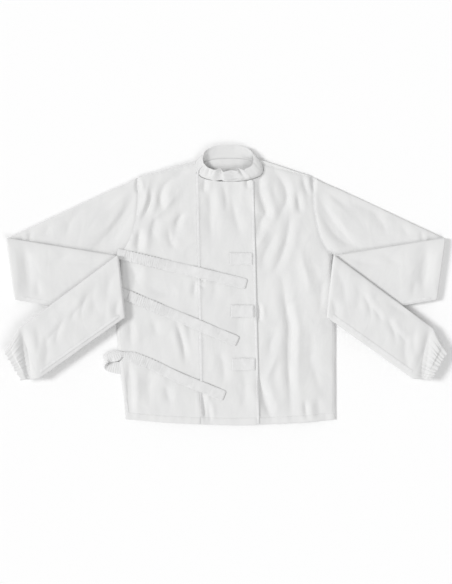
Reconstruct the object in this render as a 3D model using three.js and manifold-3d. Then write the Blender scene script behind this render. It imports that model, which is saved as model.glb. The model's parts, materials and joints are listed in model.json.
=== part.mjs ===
// Beekeeping jacket, lying on its back with both sleeves folded in three over themselves.
// Millimetres. +X to the wearer's left, +Y towards the collar, +Z up from the floor.
// The origin is on the outer face of the back panel, in the middle of the jacket's length.
// "right" and "left" are the wearer's: the right side lies at negative X.

import * as THREE from 'three';
import { mergeVertices } from 'three/addons/utils/BufferGeometryUtils.js';
import Module from 'manifold-3d';

const wasm = await Module();
wasm.setup();

// ---- Cloth ---------------------------------------------------------------------------------
const CLOTH = 1.5; // one layer of the solid model: cloth with its seam allowances
const LOFT = 6.5; // air between the front and the back of a flat tube of cloth
const GAP = 0.3; // between pieces that are sewn together
const LAYING = 2; // air under a folded segment of sleeve
const TAPE = 1; // a flat-felled seam or binding that stands on the cloth
const TAPE_WIDTH = 8;
const SEAM_ROLL = 4; // width of the seam that closes a tube of cloth along one edge

// ---- Body ----------------------------------------------------------------------------------
const CHEST = 584; // flat width at the armpits
const SHOULDERS = 490; // tip to tip
const SHOULDER_Y = 295;
const ARMHOLE_DROP = 210; // from the shoulder tip down to the armpit
const BODY_LENGTH = 665; // from the shoulder tips down to the hem at the side seams
const WAIST_EASE = 9; // each side swells this far past the chest
const WAIST_DROP = 185; // below the armpit
const HEM_TUCK = 16; // the right side is rolled under this far at the hem
const HEM_FLARE = 10; // the left side runs out this far
const HEM_DROP = 15; // lower again at the centre front
const HEM_LOWEST = 15; // x of the lowest point
const HEM_DEPTH = 20;
const ARMPIT_Y = SHOULDER_Y - ARMHOLE_DROP;
const WAIST_Y = ARMPIT_Y - WAIST_DROP;
const HEM_Y = SHOULDER_Y - BODY_LENGTH;
const HEM_RIGHT = CHEST / 2 - HEM_TUCK;
const HEM_LEFT = CHEST / 2 + HEM_FLARE;

// ---- Neck and collar -----------------------------------------------------------------------
const NECK_ABOVE_SHOULDERS = 26;
const NECK = { x: 10, y: SHOULDER_Y + NECK_ABOVE_SHOULDERS, width: 176, depth: 62 }; // the collar's foot
const COLLAR_LEAN = { x: 3, y: 32 };
const COLLAR_TAPER = 22; // narrower at its free edge
const COLLAR_RISE = 32;
const COLLAR_TOP = {
  x: NECK.x + COLLAR_LEAN.x,
  y: NECK.y + COLLAR_LEAN.y,
  width: NECK.width - COLLAR_TAPER,
  depth: NECK.depth + 2,
};
const COLLAR_CLOTH = 2;
const COLLAR_LEAN_ROOM = 22; // the collar leans over the first stretch of each shoulder seam
const NECK_MARGIN = 6; // from the collar's foot out to the cut edge of the front panels
const BACK_NECK_MARGIN = -4; // the back panel ends just inside the collar's foot
const COLLAR_LAP = 4.5; // from the collar's front to the end that it laps over
const ROUNDNESS = 2.5; // 2 is an ellipse, more is squarer

// ---- Wrapped front -------------------------------------------------------------------------
// x of the flap's free edge and of the seam that it turns on, at the neck and at the hem
const EDGE_PAST_NECK = 4; // the free edge starts just outside the collar's foot
const SEAM_INSIDE_NECK = 26.5; // the seam starts under the collar's front
const FLAP_EDGE = { top: NECK.x - NECK.width / 2 - EDGE_PAST_NECK, bottom: NECK.x - 79 };
const FLAP_SEAM = { top: NECK.x + NECK.width / 2 - SEAM_INSIDE_NECK, bottom: NECK.x + 78 };
const SEAM_TOP_Y = NECK.y - 5;
const SEAM_BOTTOM_Y = HEM_Y - 8;
const UNDERLAP = 130; // how far the right front runs on under the flap
const TAB = { length: 62, width: 32, inset: 5, below: [248, 392, 538] }; // below the collar's foot

// ---- Straps --------------------------------------------------------------------------------
const STRAP_WIDTH = 30;
const ELASTIC_LENGTH = 115;
const ELASTIC_CLOTH = 3; // the gathered casing
const HOOK_PAD = { length: 34, width: 24, inset: 3 };
// drop is below the armpit, inset is in from the side seam, reach is how far the root runs back out,
// past is how far the free end lies beyond the flap's edge.
const STRAPS = [
  { name: 'upper', drop: 3, inset: 13, reach: 21, heading: -13.3, past: 131.74 },
  { name: 'middle', drop: 115, inset: 32, reach: 35, heading: -22.8, past: 104.56 },
  { name: 'lower', drop: 275, inset: 6, reach: 0, heading: -21.9, past: 65.63 },
];
// The lower strap leaves the side seam below its start, turns over and runs back across the body.
const TURN_OVER = { out: 43, drop: 36, cloth: 1.4 };

// ---- Sleeves, in distance out from the centre line -------------------------------------------
const UPPER_LENGTH = 392; // shoulder tip to the outer fold
const UPPER_DROP = 25; // degrees below level
const FOLD_LENGTH = 172; // both folds
const FOLD_LEAN = 8; // degrees from the centre line
const FOLD_MARGIN = 0.8; // each segment stops this far short of a fold
const INNER_FOLD = { out: CHEST / 2 + 2, y: ARMPIT_Y - 5 }; // the inner fold's upper end
const FOREARM_LENGTH = 300; // to where the gathers start
const FOREARM_DROP = 36; // degrees below level
const FOREARM_WIDTH = 150;
const GATHER_LENGTH = 52;
const CUFF = { depth: 22, width: 86, cloth: 1, elastic: 0.8 };

// ---- Levels --------------------------------------------------------------------------------
const TUBE = 2 * CLOTH + LOFT; // thickness of a flat tube of cloth
const FRONT_Z = CLOTH + LOFT;
const FLAP_Z = TUBE + 0.5;
const ON_FLAP_Z = FLAP_Z + CLOTH + GAP;
const HOOK_PAD_CLOTH = 1.3;
const TONGUE_Z = ON_FLAP_Z + HOOK_PAD_CLOTH + 0.6;
const STEP = TUBE + LAYING; // from one folded segment of sleeve to the next

// ---- Looks ---------------------------------------------------------------------------------
const look = (color, roughness) => new THREE.MeshStandardMaterial({ color, roughness, metalness: 0 });
const COTTON = look(0xe9e9e8, 0.9);
const SEAM = look(0xefefee, 0.85);
const ELASTIC = look(0xe2e2e1, 0.95);
const HOOKS = look(0xd8d8d6, 0.6);

const jacket = new THREE.Group();

// ---- Plan geometry -------------------------------------------------------------------------
const at = (x, y) => new THREE.Vector2(x, y);
const radians = THREE.MathUtils.degToRad;
const ahead = (degrees) => at(Math.cos(radians(degrees)), Math.sin(radians(degrees)));
const leftOf = (direction) => at(-direction.y, direction.x);
const along = (start, direction, distance) => start.clone().addScaledVector(direction, distance);

// A point on the rounded ring that the neck and the collar share. 0 degrees is towards +X.
function onRing(ring, degrees, margin = 0) {
  const power = 2 / ROUNDNESS;
  const c = Math.cos(radians(degrees));
  const s = Math.sin(radians(degrees));
  const x = ring.x + Math.sign(c) * Math.abs(c) ** power * (ring.width / 2 + margin);
  const y = ring.y + Math.sign(s) * Math.abs(s) ** power * (ring.depth / 2 + margin);
  return at(x, y);
}

function neckline(from, to, steps, margin = NECK_MARGIN) {
  const points = [];
  for (let i = 0; i <= steps; i += 1) {
    points.push(onRing(NECK, from + ((to - from) * i) / steps, margin));
  }
  return points;
}

// The angle at which the neckline has the given x, on its front half.
function neckAngle(x) {
  const share = (x - NECK.x) / (NECK.width / 2 + NECK_MARGIN);
  const cosine = Math.sign(share) * Math.min(Math.abs(share), 1) ** (ROUNDNESS / 2);
  return 360 - THREE.MathUtils.radToDeg(Math.acos(cosine));
}

// A strip of cloth along a path, so far to its left and so far to its right.
function ribbon(path, left, right) {
  const normals = path.map((point, i) => {
    const before = path[Math.max(i - 1, 0)];
    const after = path[Math.min(i + 1, path.length - 1)];
    return leftOf(after.clone().sub(before).normalize());
  });
  const one = path.map((point, i) => along(point, normals[i], left));
  const other = path.map((point, i) => along(point, normals[i], -right));
  return one.concat(other.reverse());
}

const hemY = (x) => HEM_Y - HEM_DROP * (1 - ((x - HEM_LOWEST) / (CHEST / 2 - 2)) ** 2);

function hemline(from, to, above) {
  const steps = 6;
  const points = [];
  for (let i = 0; i <= steps; i += 1) {
    const x = from + ((to - from) * i) / steps;
    points.push(at(x, hemY(x) + above));
  }
  return points;
}

const seamX = (y) => FLAP_SEAM.bottom
  + ((FLAP_SEAM.top - FLAP_SEAM.bottom) * (y - SEAM_BOTTOM_Y)) / (SEAM_TOP_Y - SEAM_BOTTOM_Y);
const edgeX = (y) => FLAP_EDGE.bottom
  + ((FLAP_EDGE.top - FLAP_EDGE.bottom) * (y - SEAM_BOTTOM_Y)) / (SEAM_TOP_Y - SEAM_BOTTOM_Y);

// Armhole from the shoulder tip to the armpit. side is -1 on the right and 1 on the left.
function armhole(side) {
  const curve = new THREE.CubicBezierCurve(
    at((side * SHOULDERS) / 2, SHOULDER_Y),
    at(side * (SHOULDERS / 2 - 12), SHOULDER_Y - 60),
    at(side * (SHOULDERS / 2 + 4), ARMPIT_Y + 30),
    at((side * CHEST) / 2, ARMPIT_Y),
  );
  return curve.getPoints(8);
}

// Side seam from the armpit to the top of the hem.
function sideEdge(side) {
  const hem = side < 0 ? HEM_RIGHT : HEM_LEFT;
  const curve = new THREE.SplineCurve([
    at((side * CHEST) / 2, ARMPIT_Y),
    at(side * (CHEST / 2 + WAIST_EASE), WAIST_Y),
    at(side * (hem + (side < 0 ? 19 : -1)), (WAIST_Y + HEM_Y) / 2 + 30),
    at(side * hem, hemY(side * hem) + HEM_DEPTH),
  ]);
  return curve.getPoints(9);
}

// How far out the right side seam is at a height.
function sideOut(y) {
  const path = sideEdge(-1);
  const i = Math.max(path.findIndex((point) => point.y <= y), 1);
  const [above, below] = [path[i - 1], path[i]];
  return -THREE.MathUtils.mapLinear(y, above.y, below.y, above.x, below.x);
}

// ---- Solids --------------------------------------------------------------------------------
function sew(name, geometry, material) {
  const mesh = new THREE.Mesh(geometry, material);
  mesh.name = name;
  jacket.add(mesh);
}

function flatSolid(outline, bottom, thickness) {
  const geometry = new THREE.ExtrudeGeometry(new THREE.Shape(outline), { depth: thickness, bevelEnabled: false });
  geometry.translate(0, 0, bottom);
  return geometry;
}

const lay = (name, outline, bottom, thickness, material) => {
  sew(name, flatSolid(outline, bottom, thickness), material);
};

function solidOf(geometry) {
  const bare = geometry.clone();
  bare.deleteAttribute('normal');
  bare.deleteAttribute('uv');
  const merged = mergeVertices(bare, 1e-4);
  return new wasm.Manifold(new wasm.Mesh({
    numProp: 3,
    vertProperties: new Float32Array(merged.attributes.position.array),
    triVerts: new Uint32Array(merged.index.array),
  }));
}

function geometryOf(solid) {
  const mesh = solid.getMesh();
  const geometry = new THREE.BufferGeometry();
  geometry.setAttribute('position', new THREE.BufferAttribute(new Float32Array(mesh.vertProperties), 3));
  geometry.setIndex(new THREE.BufferAttribute(new Uint32Array(mesh.triVerts), 1));
  geometry.computeVertexNormals();
  return geometry;
}

// A closed sheet between two grids of points: the outer face and the inner face.
function sheetSolid(outer, inner) {
  const rows = outer.length;
  const columns = outer[0].length;
  const points = outer.flat().concat(inner.flat());
  const index = [];
  const id = (row, column, layer) => layer * rows * columns + row * columns + column;
  const quad = (a, b, c, d) => index.push(a, b, c, a, c, d);
  for (let r = 0; r < rows - 1; r += 1) {
    for (let c = 0; c < columns - 1; c += 1) {
      quad(id(r, c, 0), id(r, c + 1, 0), id(r + 1, c + 1, 0), id(r + 1, c, 0));
      quad(id(r, c, 1), id(r + 1, c, 1), id(r + 1, c + 1, 1), id(r, c + 1, 1));
    }
    quad(id(r, 0, 0), id(r + 1, 0, 0), id(r + 1, 0, 1), id(r, 0, 1));
    quad(id(r, columns - 1, 0), id(r, columns - 1, 1), id(r + 1, columns - 1, 1), id(r + 1, columns - 1, 0));
  }
  for (let c = 0; c < columns - 1; c += 1) {
    quad(id(0, c, 0), id(0, c, 1), id(0, c + 1, 1), id(0, c + 1, 0));
    quad(id(rows - 1, c, 0), id(rows - 1, c + 1, 0), id(rows - 1, c + 1, 1), id(rows - 1, c, 1));
  }
  const geometry = new THREE.BufferGeometry().setFromPoints(points);
  geometry.setIndex(index);
  geometry.computeVertexNormals();
  return geometry;
}

// ---- Body ----------------------------------------------------------------------------------
const RIGHT = -1;
const LEFT = 1;

function buildBack() {
  const outline = [
    ...neckline(45, 135, 6, BACK_NECK_MARGIN),
    ...armhole(RIGHT),
    ...sideEdge(RIGHT).slice(1),
    ...hemline(-HEM_RIGHT, HEM_LEFT, HEM_DEPTH).slice(1, -1),
    ...sideEdge(LEFT).reverse().slice(0, -1),
    ...armhole(LEFT).reverse(),
  ];
  lay('back_panel', outline, 0, CLOTH, COTTON);
  const upper = hemline(-HEM_RIGHT, HEM_LEFT, HEM_DEPTH - GAP).reverse();
  const hem = hemline(-HEM_RIGHT, HEM_LEFT, 0).concat(upper);
  lay('back_hem', hem, 0, CLOTH + 0.5, COTTON);
}

function buildRightFront() {
  const bottom = hemY(FLAP_EDGE.bottom) + HEM_DEPTH;
  const outline = [
    ...neckline(neckAngle(FLAP_EDGE.top), 135, 5),
    ...armhole(RIGHT),
    ...sideEdge(RIGHT).slice(1),
    ...hemline(-HEM_RIGHT, edgeX(bottom), HEM_DEPTH).slice(1),
  ];
  lay('right_front_panel', outline, FRONT_Z, CLOTH, COTTON);
  const end = FLAP_EDGE.bottom;
  const hem = hemline(-HEM_RIGHT, end, 0).concat(hemline(-HEM_RIGHT, end, HEM_DEPTH - GAP).reverse());
  lay('right_front_hem', hem, FRONT_Z - 0.5, CLOTH + 0.5, COTTON);
  const top = NECK.y - NECK.depth / 2 - 12;
  const underlap = [
    at(edgeX(top) + GAP, top),
    at(edgeX(bottom) + GAP, bottom),
    at(edgeX(bottom) + UNDERLAP, bottom),
    at(edgeX(top) + UNDERLAP, top - 8),
  ];
  lay('front_underlap', underlap, FRONT_Z, CLOTH, COTTON);
}

function buildLeftFront() {
  const bottom = hemY(FLAP_SEAM.bottom) + HEM_DEPTH;
  const start = neckAngle(FLAP_SEAM.top);
  const outline = [
    ...neckline(405, start, 6),
    ...hemline(seamX(bottom), HEM_LEFT, HEM_DEPTH),
    ...sideEdge(LEFT).reverse().slice(1, -1),
    ...armhole(LEFT).reverse(),
  ];
  lay('left_front_panel', outline, FRONT_Z, CLOTH, COTTON);
  const from = FLAP_SEAM.bottom;
  const hem = hemline(from, HEM_LEFT, 0).concat(hemline(from, HEM_LEFT, HEM_DEPTH - GAP).reverse());
  lay('left_front_hem', hem, FRONT_Z - 0.5, CLOTH + 0.5, COTTON);
}

function buildSideSeam(name, side) {
  const path = sideEdge(side);
  const inward = side < 0 ? [SEAM_ROLL, 0] : [0, SEAM_ROLL];
  lay(name, ribbon(path, ...inward), CLOTH + 0.8, LOFT - 1.6, SEAM);
}

function buildShoulderSeam(name, side) {
  const tip = at((side * SHOULDERS) / 2, SHOULDER_Y);
  const neck = onRing(NECK, side < 0 ? 135 : 45, NECK_MARGIN);
  const run = tip.clone().sub(neck).normalize();
  const path = [along(neck, run, COLLAR_LEAN_ROOM), along(tip, run, -TAPE_WIDTH)];
  const inward = side < 0 ? [TAPE_WIDTH, 0] : [0, TAPE_WIDTH];
  lay(name, ribbon(path, ...inward), TUBE + GAP, TAPE, SEAM);
}

function buildArmholeSeam(name, side) {
  const path = armhole(side).slice(0, -2);
  lay(name, ribbon(path, TAPE_WIDTH / 2, TAPE_WIDTH / 2), TUBE + GAP, TAPE, SEAM);
}

// ---- Flap ----------------------------------------------------------------------------------
function buildFlap() {
  const bottom = hemY(FLAP_EDGE.bottom) + HEM_DEPTH;
  const corner = hemY(FLAP_SEAM.bottom) + HEM_DEPTH;
  const left = seamX(corner) - GAP;
  const outline = [
    ...neckline(neckAngle(FLAP_EDGE.top), neckAngle(FLAP_SEAM.top - GAP), 9),
    ...hemline(edgeX(bottom), left, HEM_DEPTH).reverse(),
  ];
  lay('front_flap', outline, FLAP_Z, CLOTH, COTTON);
  const hem = hemline(edgeX(bottom), left, 0).concat(hemline(edgeX(bottom), left, HEM_DEPTH - GAP).reverse());
  lay('flap_hem', hem, FLAP_Z, CLOTH + 0.3, COTTON);
  const top = NECK.y - 14;
  const edge = [at(edgeX(top), top), at(edgeX(bottom), bottom)];
  lay('flap_edge_binding', ribbon(edge, TAPE_WIDTH, 0), ON_FLAP_Z, TAPE + 0.2, SEAM);
}

function buildWelt() {
  const top = onRing(NECK, neckAngle(FLAP_SEAM.top), NECK_MARGIN).y - 2;
  const bottom = hemY(FLAP_SEAM.bottom) + 2;
  const seam = [at(seamX(top), top), at(seamX(bottom), bottom)];
  lay('flap_seam_welt', ribbon(seam, TAPE_WIDTH, -GAP), TUBE + GAP, CLOTH, SEAM);
}

function buildTab(name, below) {
  const y = NECK.y - below;
  const lean = Math.atan2(FLAP_SEAM.bottom - FLAP_SEAM.top, SEAM_TOP_Y - SEAM_BOTTOM_Y);
  const inboard = ahead(180 + THREE.MathUtils.radToDeg(lean));
  const root = along(at(seamX(y), y), inboard, TAB.inset);
  const path = [root, along(root, inboard, TAB.length)];
  lay(name, ribbon(path, TAB.width / 2, TAB.width / 2), ON_FLAP_Z, TAPE + 0.2, SEAM);
}

// ---- Straps --------------------------------------------------------------------------------
// Both legs of a strap that is turned over outside the side seam, and the bend between them.
function turnedOver(start, run, half) {
  const { out, drop, cloth } = TURN_OVER;
  const edge = start.x - out;
  const below = start.y - drop;
  const seam = -Math.max(sideOut(below + half), sideOut(below - half)) - GAP;
  const across = leftOf(run);
  const [a, b] = [along(start, across, half), along(start, across, -half)];
  const upper = [a, b, at(edge + cloth, below + half - 5), at(edge, below + half - 5), at(edge + 5, a.y - 8)];
  const lower = [at(edge, below + half), at(edge + 9, below - half), at(seam, below - half), at(seam, below + half)];
  const bend = [at(edge, start.y - 12), at(edge, below), at(edge + cloth, below), at(edge + cloth, start.y - 12)];
  const top = TUBE + GAP;
  return geometryOf(
    solidOf(flatSolid(upper, top, cloth))
      .add(solidOf(flatSolid(lower, 0, cloth)))
      .add(solidOf(flatSolid(bend, 0, top + cloth))),
  );
}

// Length of a strap from its start to its free end, so far past the flap's edge.
function strapLength(start, run, past) {
  const slant = (FLAP_EDGE.top - FLAP_EDGE.bottom) / (SEAM_TOP_Y - SEAM_BOTTOM_Y);
  return (edgeX(start.y) + past - start.x) / (run.x - slant * run.y);
}

function buildStrap({ name, drop, inset, reach, heading, past }) {
  const run = ahead(heading);
  const y = ARMPIT_Y - drop;
  const start = at(inset - sideOut(y), y);
  const length = strapLength(start, run, past);
  const joint = along(start, run, ELASTIC_LENGTH);
  const end = along(start, run, length);
  const half = STRAP_WIDTH / 2;
  const strip = (from, to, width) => ribbon([from, to], width, width);
  const hidden = along(start, run, -GAP);
  if (reach) lay(`${name}_strap_root`, strip(along(hidden, run, -reach), hidden, half), TUBE + GAP, 1.4, COTTON);
  else sew(`${name}_strap_root`, turnedOver(hidden, run, half), COTTON);
  lay(`${name}_strap_elastic`, strip(start, along(joint, run, -GAP), half - 1), TUBE + 0.4, ELASTIC_CLOTH, ELASTIC);
  lay(`${name}_strap_tongue`, strip(joint, end, half), TONGUE_Z, CLOTH, COTTON);
  const padEnd = along(end, run, -HOOK_PAD.inset);
  const padStart = along(padEnd, run, -HOOK_PAD.length);
  lay(`${name}_strap_hook_pad`, strip(padStart, padEnd, HOOK_PAD.width / 2), ON_FLAP_Z + GAP, HOOK_PAD_CLOTH, HOOKS);
}

// ---- Collar --------------------------------------------------------------------------------
// A stretch of the standing band. outward moves both faces away from the ring's centre.
function buildBand(name, from, to, outward, low, high, material) {
  const columns = Math.max(4, Math.round(Math.abs(to - from) / 12));
  const outer = [];
  const inner = [];
  for (const share of [low, (low + high) / 2, high]) {
    const outerRow = [];
    const innerRow = [];
    for (let i = 0; i <= columns; i += 1) {
      const angle = from + ((to - from) * i) / columns;
      const foot = FLAP_Z / 2 + 2 - (FLAP_Z / 2 + 1) * Math.sin(radians(angle));
      const rise = foot + COLLAR_RISE * share;
      const place = (margin) => onRing(NECK, angle, margin).lerp(onRing(COLLAR_TOP, angle, margin), share);
      const face = place(outward);
      const lining = place(outward - COLLAR_CLOTH);
      outerRow.push(new THREE.Vector3(face.x, face.y, rise));
      innerRow.push(new THREE.Vector3(lining.x, lining.y, rise));
    }
    outer.push(outerRow);
    inner.push(innerRow);
  }
  sew(name, sheetSolid(outer, inner), material);
}

function buildCollar() {
  buildBand('collar_back', -57, 172, 0, 0, 1, COTTON);
  buildBand('collar_underlap', 174, 215, -COLLAR_LAP, 0.04, 0.96, COTTON);
  buildBand('collar_front', 176, 301, 0, 0, 1, COTTON);
  buildBand('collar_closure_tab', 177, 197, COLLAR_CLOTH + GAP, 0.25, 0.85, SEAM);
}

// ---- Sleeves -------------------------------------------------------------------------------
// One folded segment: a front and a back layer, closed along the top of the arm by the front
// layer's own fold and under the arm by a seam.
function buildSegment(name, outline, topEdge, underEdge, bottom, frontUp, side) {
  const frontZ = frontUp ? bottom + CLOTH + LOFT : bottom;
  const backZ = frontUp ? bottom : bottom + CLOTH + LOFT;
  const wall = side < 0 ? [CLOTH, 0] : [0, CLOTH];
  const roll = side < 0 ? [0, SEAM_ROLL] : [SEAM_ROLL, 0];
  const wallBottom = frontUp ? bottom + CLOTH + GAP : bottom + CLOTH / 2;
  const wallHeight = LOFT - GAP + CLOTH / 2;
  const front = solidOf(flatSolid(outline, frontZ, CLOTH));
  const fold = solidOf(flatSolid(ribbon(topEdge, ...wall), wallBottom, wallHeight));
  sew(`${name}_front`, geometryOf(front.add(fold)), COTTON);
  lay(`${name}_back`, outline, backZ, CLOTH, COTTON);
  lay(`${name}_seam`, ribbon(underEdge, ...roll), bottom + CLOTH + GAP, LOFT - 2 * GAP, SEAM);
}

function ringSolid(length, width, height, wall) {
  const outer = solidOf(new THREE.BoxGeometry(length, width, height));
  const inner = solidOf(new THREE.BoxGeometry(length + 2, width - 2 * wall, height - 2 * wall));
  return geometryOf(outer.subtract(inner));
}

function buildCuff(name, centre, heading, bottom) {
  const casing = ringSolid(CUFF.depth, CUFF.width, TUBE, CUFF.cloth);
  const inside = 2 * (CUFF.cloth + GAP);
  const elastic = ringSolid(CUFF.depth - 6, CUFF.width - inside, TUBE - inside, CUFF.elastic);
  for (const [part, geometry, material] of [['', casing, COTTON], ['_elastic', elastic, ELASTIC]]) {
    geometry.rotateZ(radians(heading));
    geometry.translate(centre.x, centre.y, bottom + TUBE / 2);
    sew(`${name}${part}`, geometry, material);
  }
}

function buildSleeve(word, side) {
  const place = (out, y) => at(side * out, y);
  const direction = (drop) => at(side * Math.cos(radians(drop)), -Math.sin(radians(drop)));
  const foldRun = at(-side * Math.sin(radians(FOLD_LEAN)), -Math.cos(radians(FOLD_LEAN)));
  const shoulder = place(SHOULDERS / 2, SHOULDER_Y);
  const outerTop = along(shoulder, direction(UPPER_DROP), UPPER_LENGTH);
  const outerEnd = along(outerTop, foldRun, FOLD_LENGTH);
  const innerTop = place(INNER_FOLD.out, INNER_FOLD.y);
  const innerEnd = along(innerTop, foldRun, FOLD_LENGTH);

  const short = (point, way) => at(point.x + side * way * FOLD_MARGIN, point.y);
  const armholeEdge = armhole(side).map((point) => at(point.x + side * 0.7, point.y - 0.3));
  const armpit = armholeEdge[armholeEdge.length - 1];
  const [foldTop, foldEnd] = [short(outerTop, -1), short(outerEnd, -1)];
  const upper = [...armholeEdge, foldEnd, foldTop];
  buildSegment(`${word}_sleeve_upper`, upper, [armholeEdge[0], foldTop], [armpit, foldEnd], 0, true, side);

  const [backTop, backEnd] = [short(innerTop, 1), short(innerEnd, 1)];
  const middle = [foldTop, foldEnd, backEnd, backTop];
  buildSegment(`${word}_sleeve_middle`, middle, [backTop, foldTop], [backEnd, foldEnd], STEP, false, side);

  const run = direction(FOREARM_DROP);
  const up = at(-side * run.y, side * run.x);
  const axisStart = along(innerTop, foldRun, FOLD_LENGTH / 2);
  const spread = (distance, width) => {
    const centre = along(axisStart, run, distance);
    return [along(centre, up, width / 2), along(centre, up, -width / 2)];
  };
  const [gatherTop, gatherEnd] = spread(FOREARM_LENGTH, FOREARM_WIDTH);
  const [wristTop, wristEnd] = spread(FOREARM_LENGTH + GATHER_LENGTH, CUFF.width);
  const topEdge = [backTop, gatherTop, wristTop];
  const underEdge = [backEnd, gatherEnd, wristEnd];
  const forearm = [...topEdge, ...underEdge.slice().reverse()];
  buildSegment(`${word}_sleeve_forearm`, forearm, topEdge, underEdge, 2 * STEP, true, side);

  const cuffCentre = along(axisStart, run, FOREARM_LENGTH + GATHER_LENGTH + GAP + CUFF.depth / 2);
  buildCuff(`${word}_cuff`, cuffCentre, side < 0 ? FOREARM_DROP : -FOREARM_DROP, 2 * STEP);
}

// ---- The jacket ----------------------------------------------------------------------------
buildBack();
buildRightFront();
buildLeftFront();
for (const [word, side] of [['right', RIGHT], ['left', LEFT]]) {
  buildSideSeam(`${word}_side_seam`, side);
  buildShoulderSeam(`${word}_shoulder_seam`, side);
  buildArmholeSeam(`${word}_armhole_seam`, side);
  buildSleeve(word, side);
}
buildWelt();
buildFlap();
['upper', 'middle', 'lower'].forEach((word, i) => buildTab(`${word}_tab`, TAB.below[i]));
STRAPS.forEach(buildStrap);
buildCollar();

export default jacket;
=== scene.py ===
import json
import math

import bpy
import numpy as np
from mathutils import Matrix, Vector
from mathutils.geometry import delaunay_2d_cdt


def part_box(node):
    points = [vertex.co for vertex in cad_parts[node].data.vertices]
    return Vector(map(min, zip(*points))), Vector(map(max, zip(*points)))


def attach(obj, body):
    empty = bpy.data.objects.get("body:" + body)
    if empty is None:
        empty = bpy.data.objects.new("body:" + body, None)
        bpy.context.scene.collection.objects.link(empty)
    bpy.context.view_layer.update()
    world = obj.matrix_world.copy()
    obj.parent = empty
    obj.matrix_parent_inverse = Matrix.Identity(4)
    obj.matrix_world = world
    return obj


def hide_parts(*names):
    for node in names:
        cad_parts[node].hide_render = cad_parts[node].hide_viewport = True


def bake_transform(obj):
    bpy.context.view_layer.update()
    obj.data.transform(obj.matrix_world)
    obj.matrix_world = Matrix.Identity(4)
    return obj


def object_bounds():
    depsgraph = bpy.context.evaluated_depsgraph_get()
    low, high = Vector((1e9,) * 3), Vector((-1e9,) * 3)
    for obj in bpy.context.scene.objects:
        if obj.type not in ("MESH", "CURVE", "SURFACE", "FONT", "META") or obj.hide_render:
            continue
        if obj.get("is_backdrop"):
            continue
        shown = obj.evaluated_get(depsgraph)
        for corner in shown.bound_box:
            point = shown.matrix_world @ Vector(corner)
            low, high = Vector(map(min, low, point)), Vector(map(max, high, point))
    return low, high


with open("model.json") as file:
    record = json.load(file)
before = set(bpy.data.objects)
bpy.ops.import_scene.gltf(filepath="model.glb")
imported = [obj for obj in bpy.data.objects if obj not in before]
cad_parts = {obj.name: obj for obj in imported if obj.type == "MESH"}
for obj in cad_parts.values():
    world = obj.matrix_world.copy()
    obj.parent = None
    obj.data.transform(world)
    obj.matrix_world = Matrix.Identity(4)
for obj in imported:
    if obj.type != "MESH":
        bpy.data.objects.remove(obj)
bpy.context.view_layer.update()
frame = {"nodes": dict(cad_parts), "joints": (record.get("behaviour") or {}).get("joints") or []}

joints = {joint["name"]: joint for joint in frame["joints"]}

# Metres. +X to the wearer's left, +Y towards the collar, +Z up from the floor.
MM = 0.001
CLOTH = 0.9 * MM  # one layer of the cotton

# ---- Heights of the laid layers, each the top face of its layer --------------------------
BACK_TOP = 1.2 * MM
FRONT_TOP = 8.4 * MM
FLAP_LIFT = 1.9 * MM  # from the front panels up to the flap
EDGE_ROLL = 15 * MM  # how far in from the side edges the front rolls down

# ---- Sleeve, folded in three -------------------------------------------------------------
OUTER_FOLD_Z = 10.5 * MM
INNER_FOLD_Z = 22.0 * MM
FOLD_HALF_BLEND = 0.4 * MM  # this far each side of a fold's middle; it only sets two end points that nothing uses
NEAR_LAYER = 1.6 * MM  # from a fold's middle to the layer inside it
FAR_LAYER = 10.0 * MM  # to the layer outside it
FOLD_BULGE = 0.5  # a pressed fold sticks out by half its height
SHOULDER_TIP = (245, 295)
ARMPIT = (292, 85)
OUTER_FOLD = ((600.3, 129.3), (576.4, -41.0))
INNER_FOLD = ((299.0, 80.5), (280.0, -91.5))
GATHER_START = ((567.5, -119.5), (512.0, -257.5))
CUFF_START = ((592.0, -163.0), (545.0, -259.0))
CUFF_END = ((606.5, -183.0), (561.5, -260.5))

# ---- Neck and collar ---------------------------------------------------------------------
NECK_MIDDLE = (10, 321)
NECK_HALF = (88, 31)
COLLAR_TOP_MIDDLE = (6.5, 353)
COLLAR_TOP_HALF = (67, 32)
COLLAR_RISE = 19 * MM
ROUNDNESS = 2.5
FLAP_LEVEL = 10.0  # millimetres up to the flap, which the collar's foot follows

# ---- Folds and sewing --------------------------------------------------------------------
FOLD_WIDENING = 1.15  # on every listed fold width
FOLD_DEEPENING = 1.7  # on every listed fold depth
HEM_SEWING = 16.5 * MM  # from the lower edge up to the hem's row of stitches
SIDE_SEWING = 10 * MM
EDGE_SEWING = 9.3 * MM
STRAP_SEWING = 11.6 * MM  # from a strap's middle out to its edge rows


# ---- Small sums --------------------------------------------------------------------------
def smooth(t):
    t = np.clip(t, 0, 1)
    return t * t * (3 - 2 * t)


def bell(distance, width):
    return np.exp(-((distance / width) ** 2))


def grid_value(ix, iy, seed):
    n = (ix.astype(np.int64) * 374761393 + iy.astype(np.int64) * 668265263 + seed * 97463477) & 0xFFFFFFFF
    n = ((n ^ (n >> 13)) * 1274126177) & 0xFFFFFFFF
    n = n ^ (n >> 16)
    return (n & 0xFFFFFF) / float(0xFFFFFF) * 2 - 1


def drift(x, y, cell, seed):
    """Slow wandering between -1 and 1, the same every run."""
    total = 0
    for turn, share in ((0.4, 0.6), (1.3, 0.4)):
        u = (x * math.cos(turn) + y * math.sin(turn)) / cell + 31.7 * turn
        v = (y * math.cos(turn) - x * math.sin(turn)) / cell - 17.3 * turn
        iu, iv = np.floor(u), np.floor(v)
        fu, fv = smooth(u - iu), smooth(v - iv)
        low = grid_value(iu, iv, seed) * (1 - fu) + grid_value(iu + 1, iv, seed) * fu
        high = grid_value(iu, iv + 1, seed) * (1 - fu) + grid_value(iu + 1, iv + 1, seed) * fu
        total = total + share * (low * (1 - fv) + high * fv)
    return total


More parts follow.
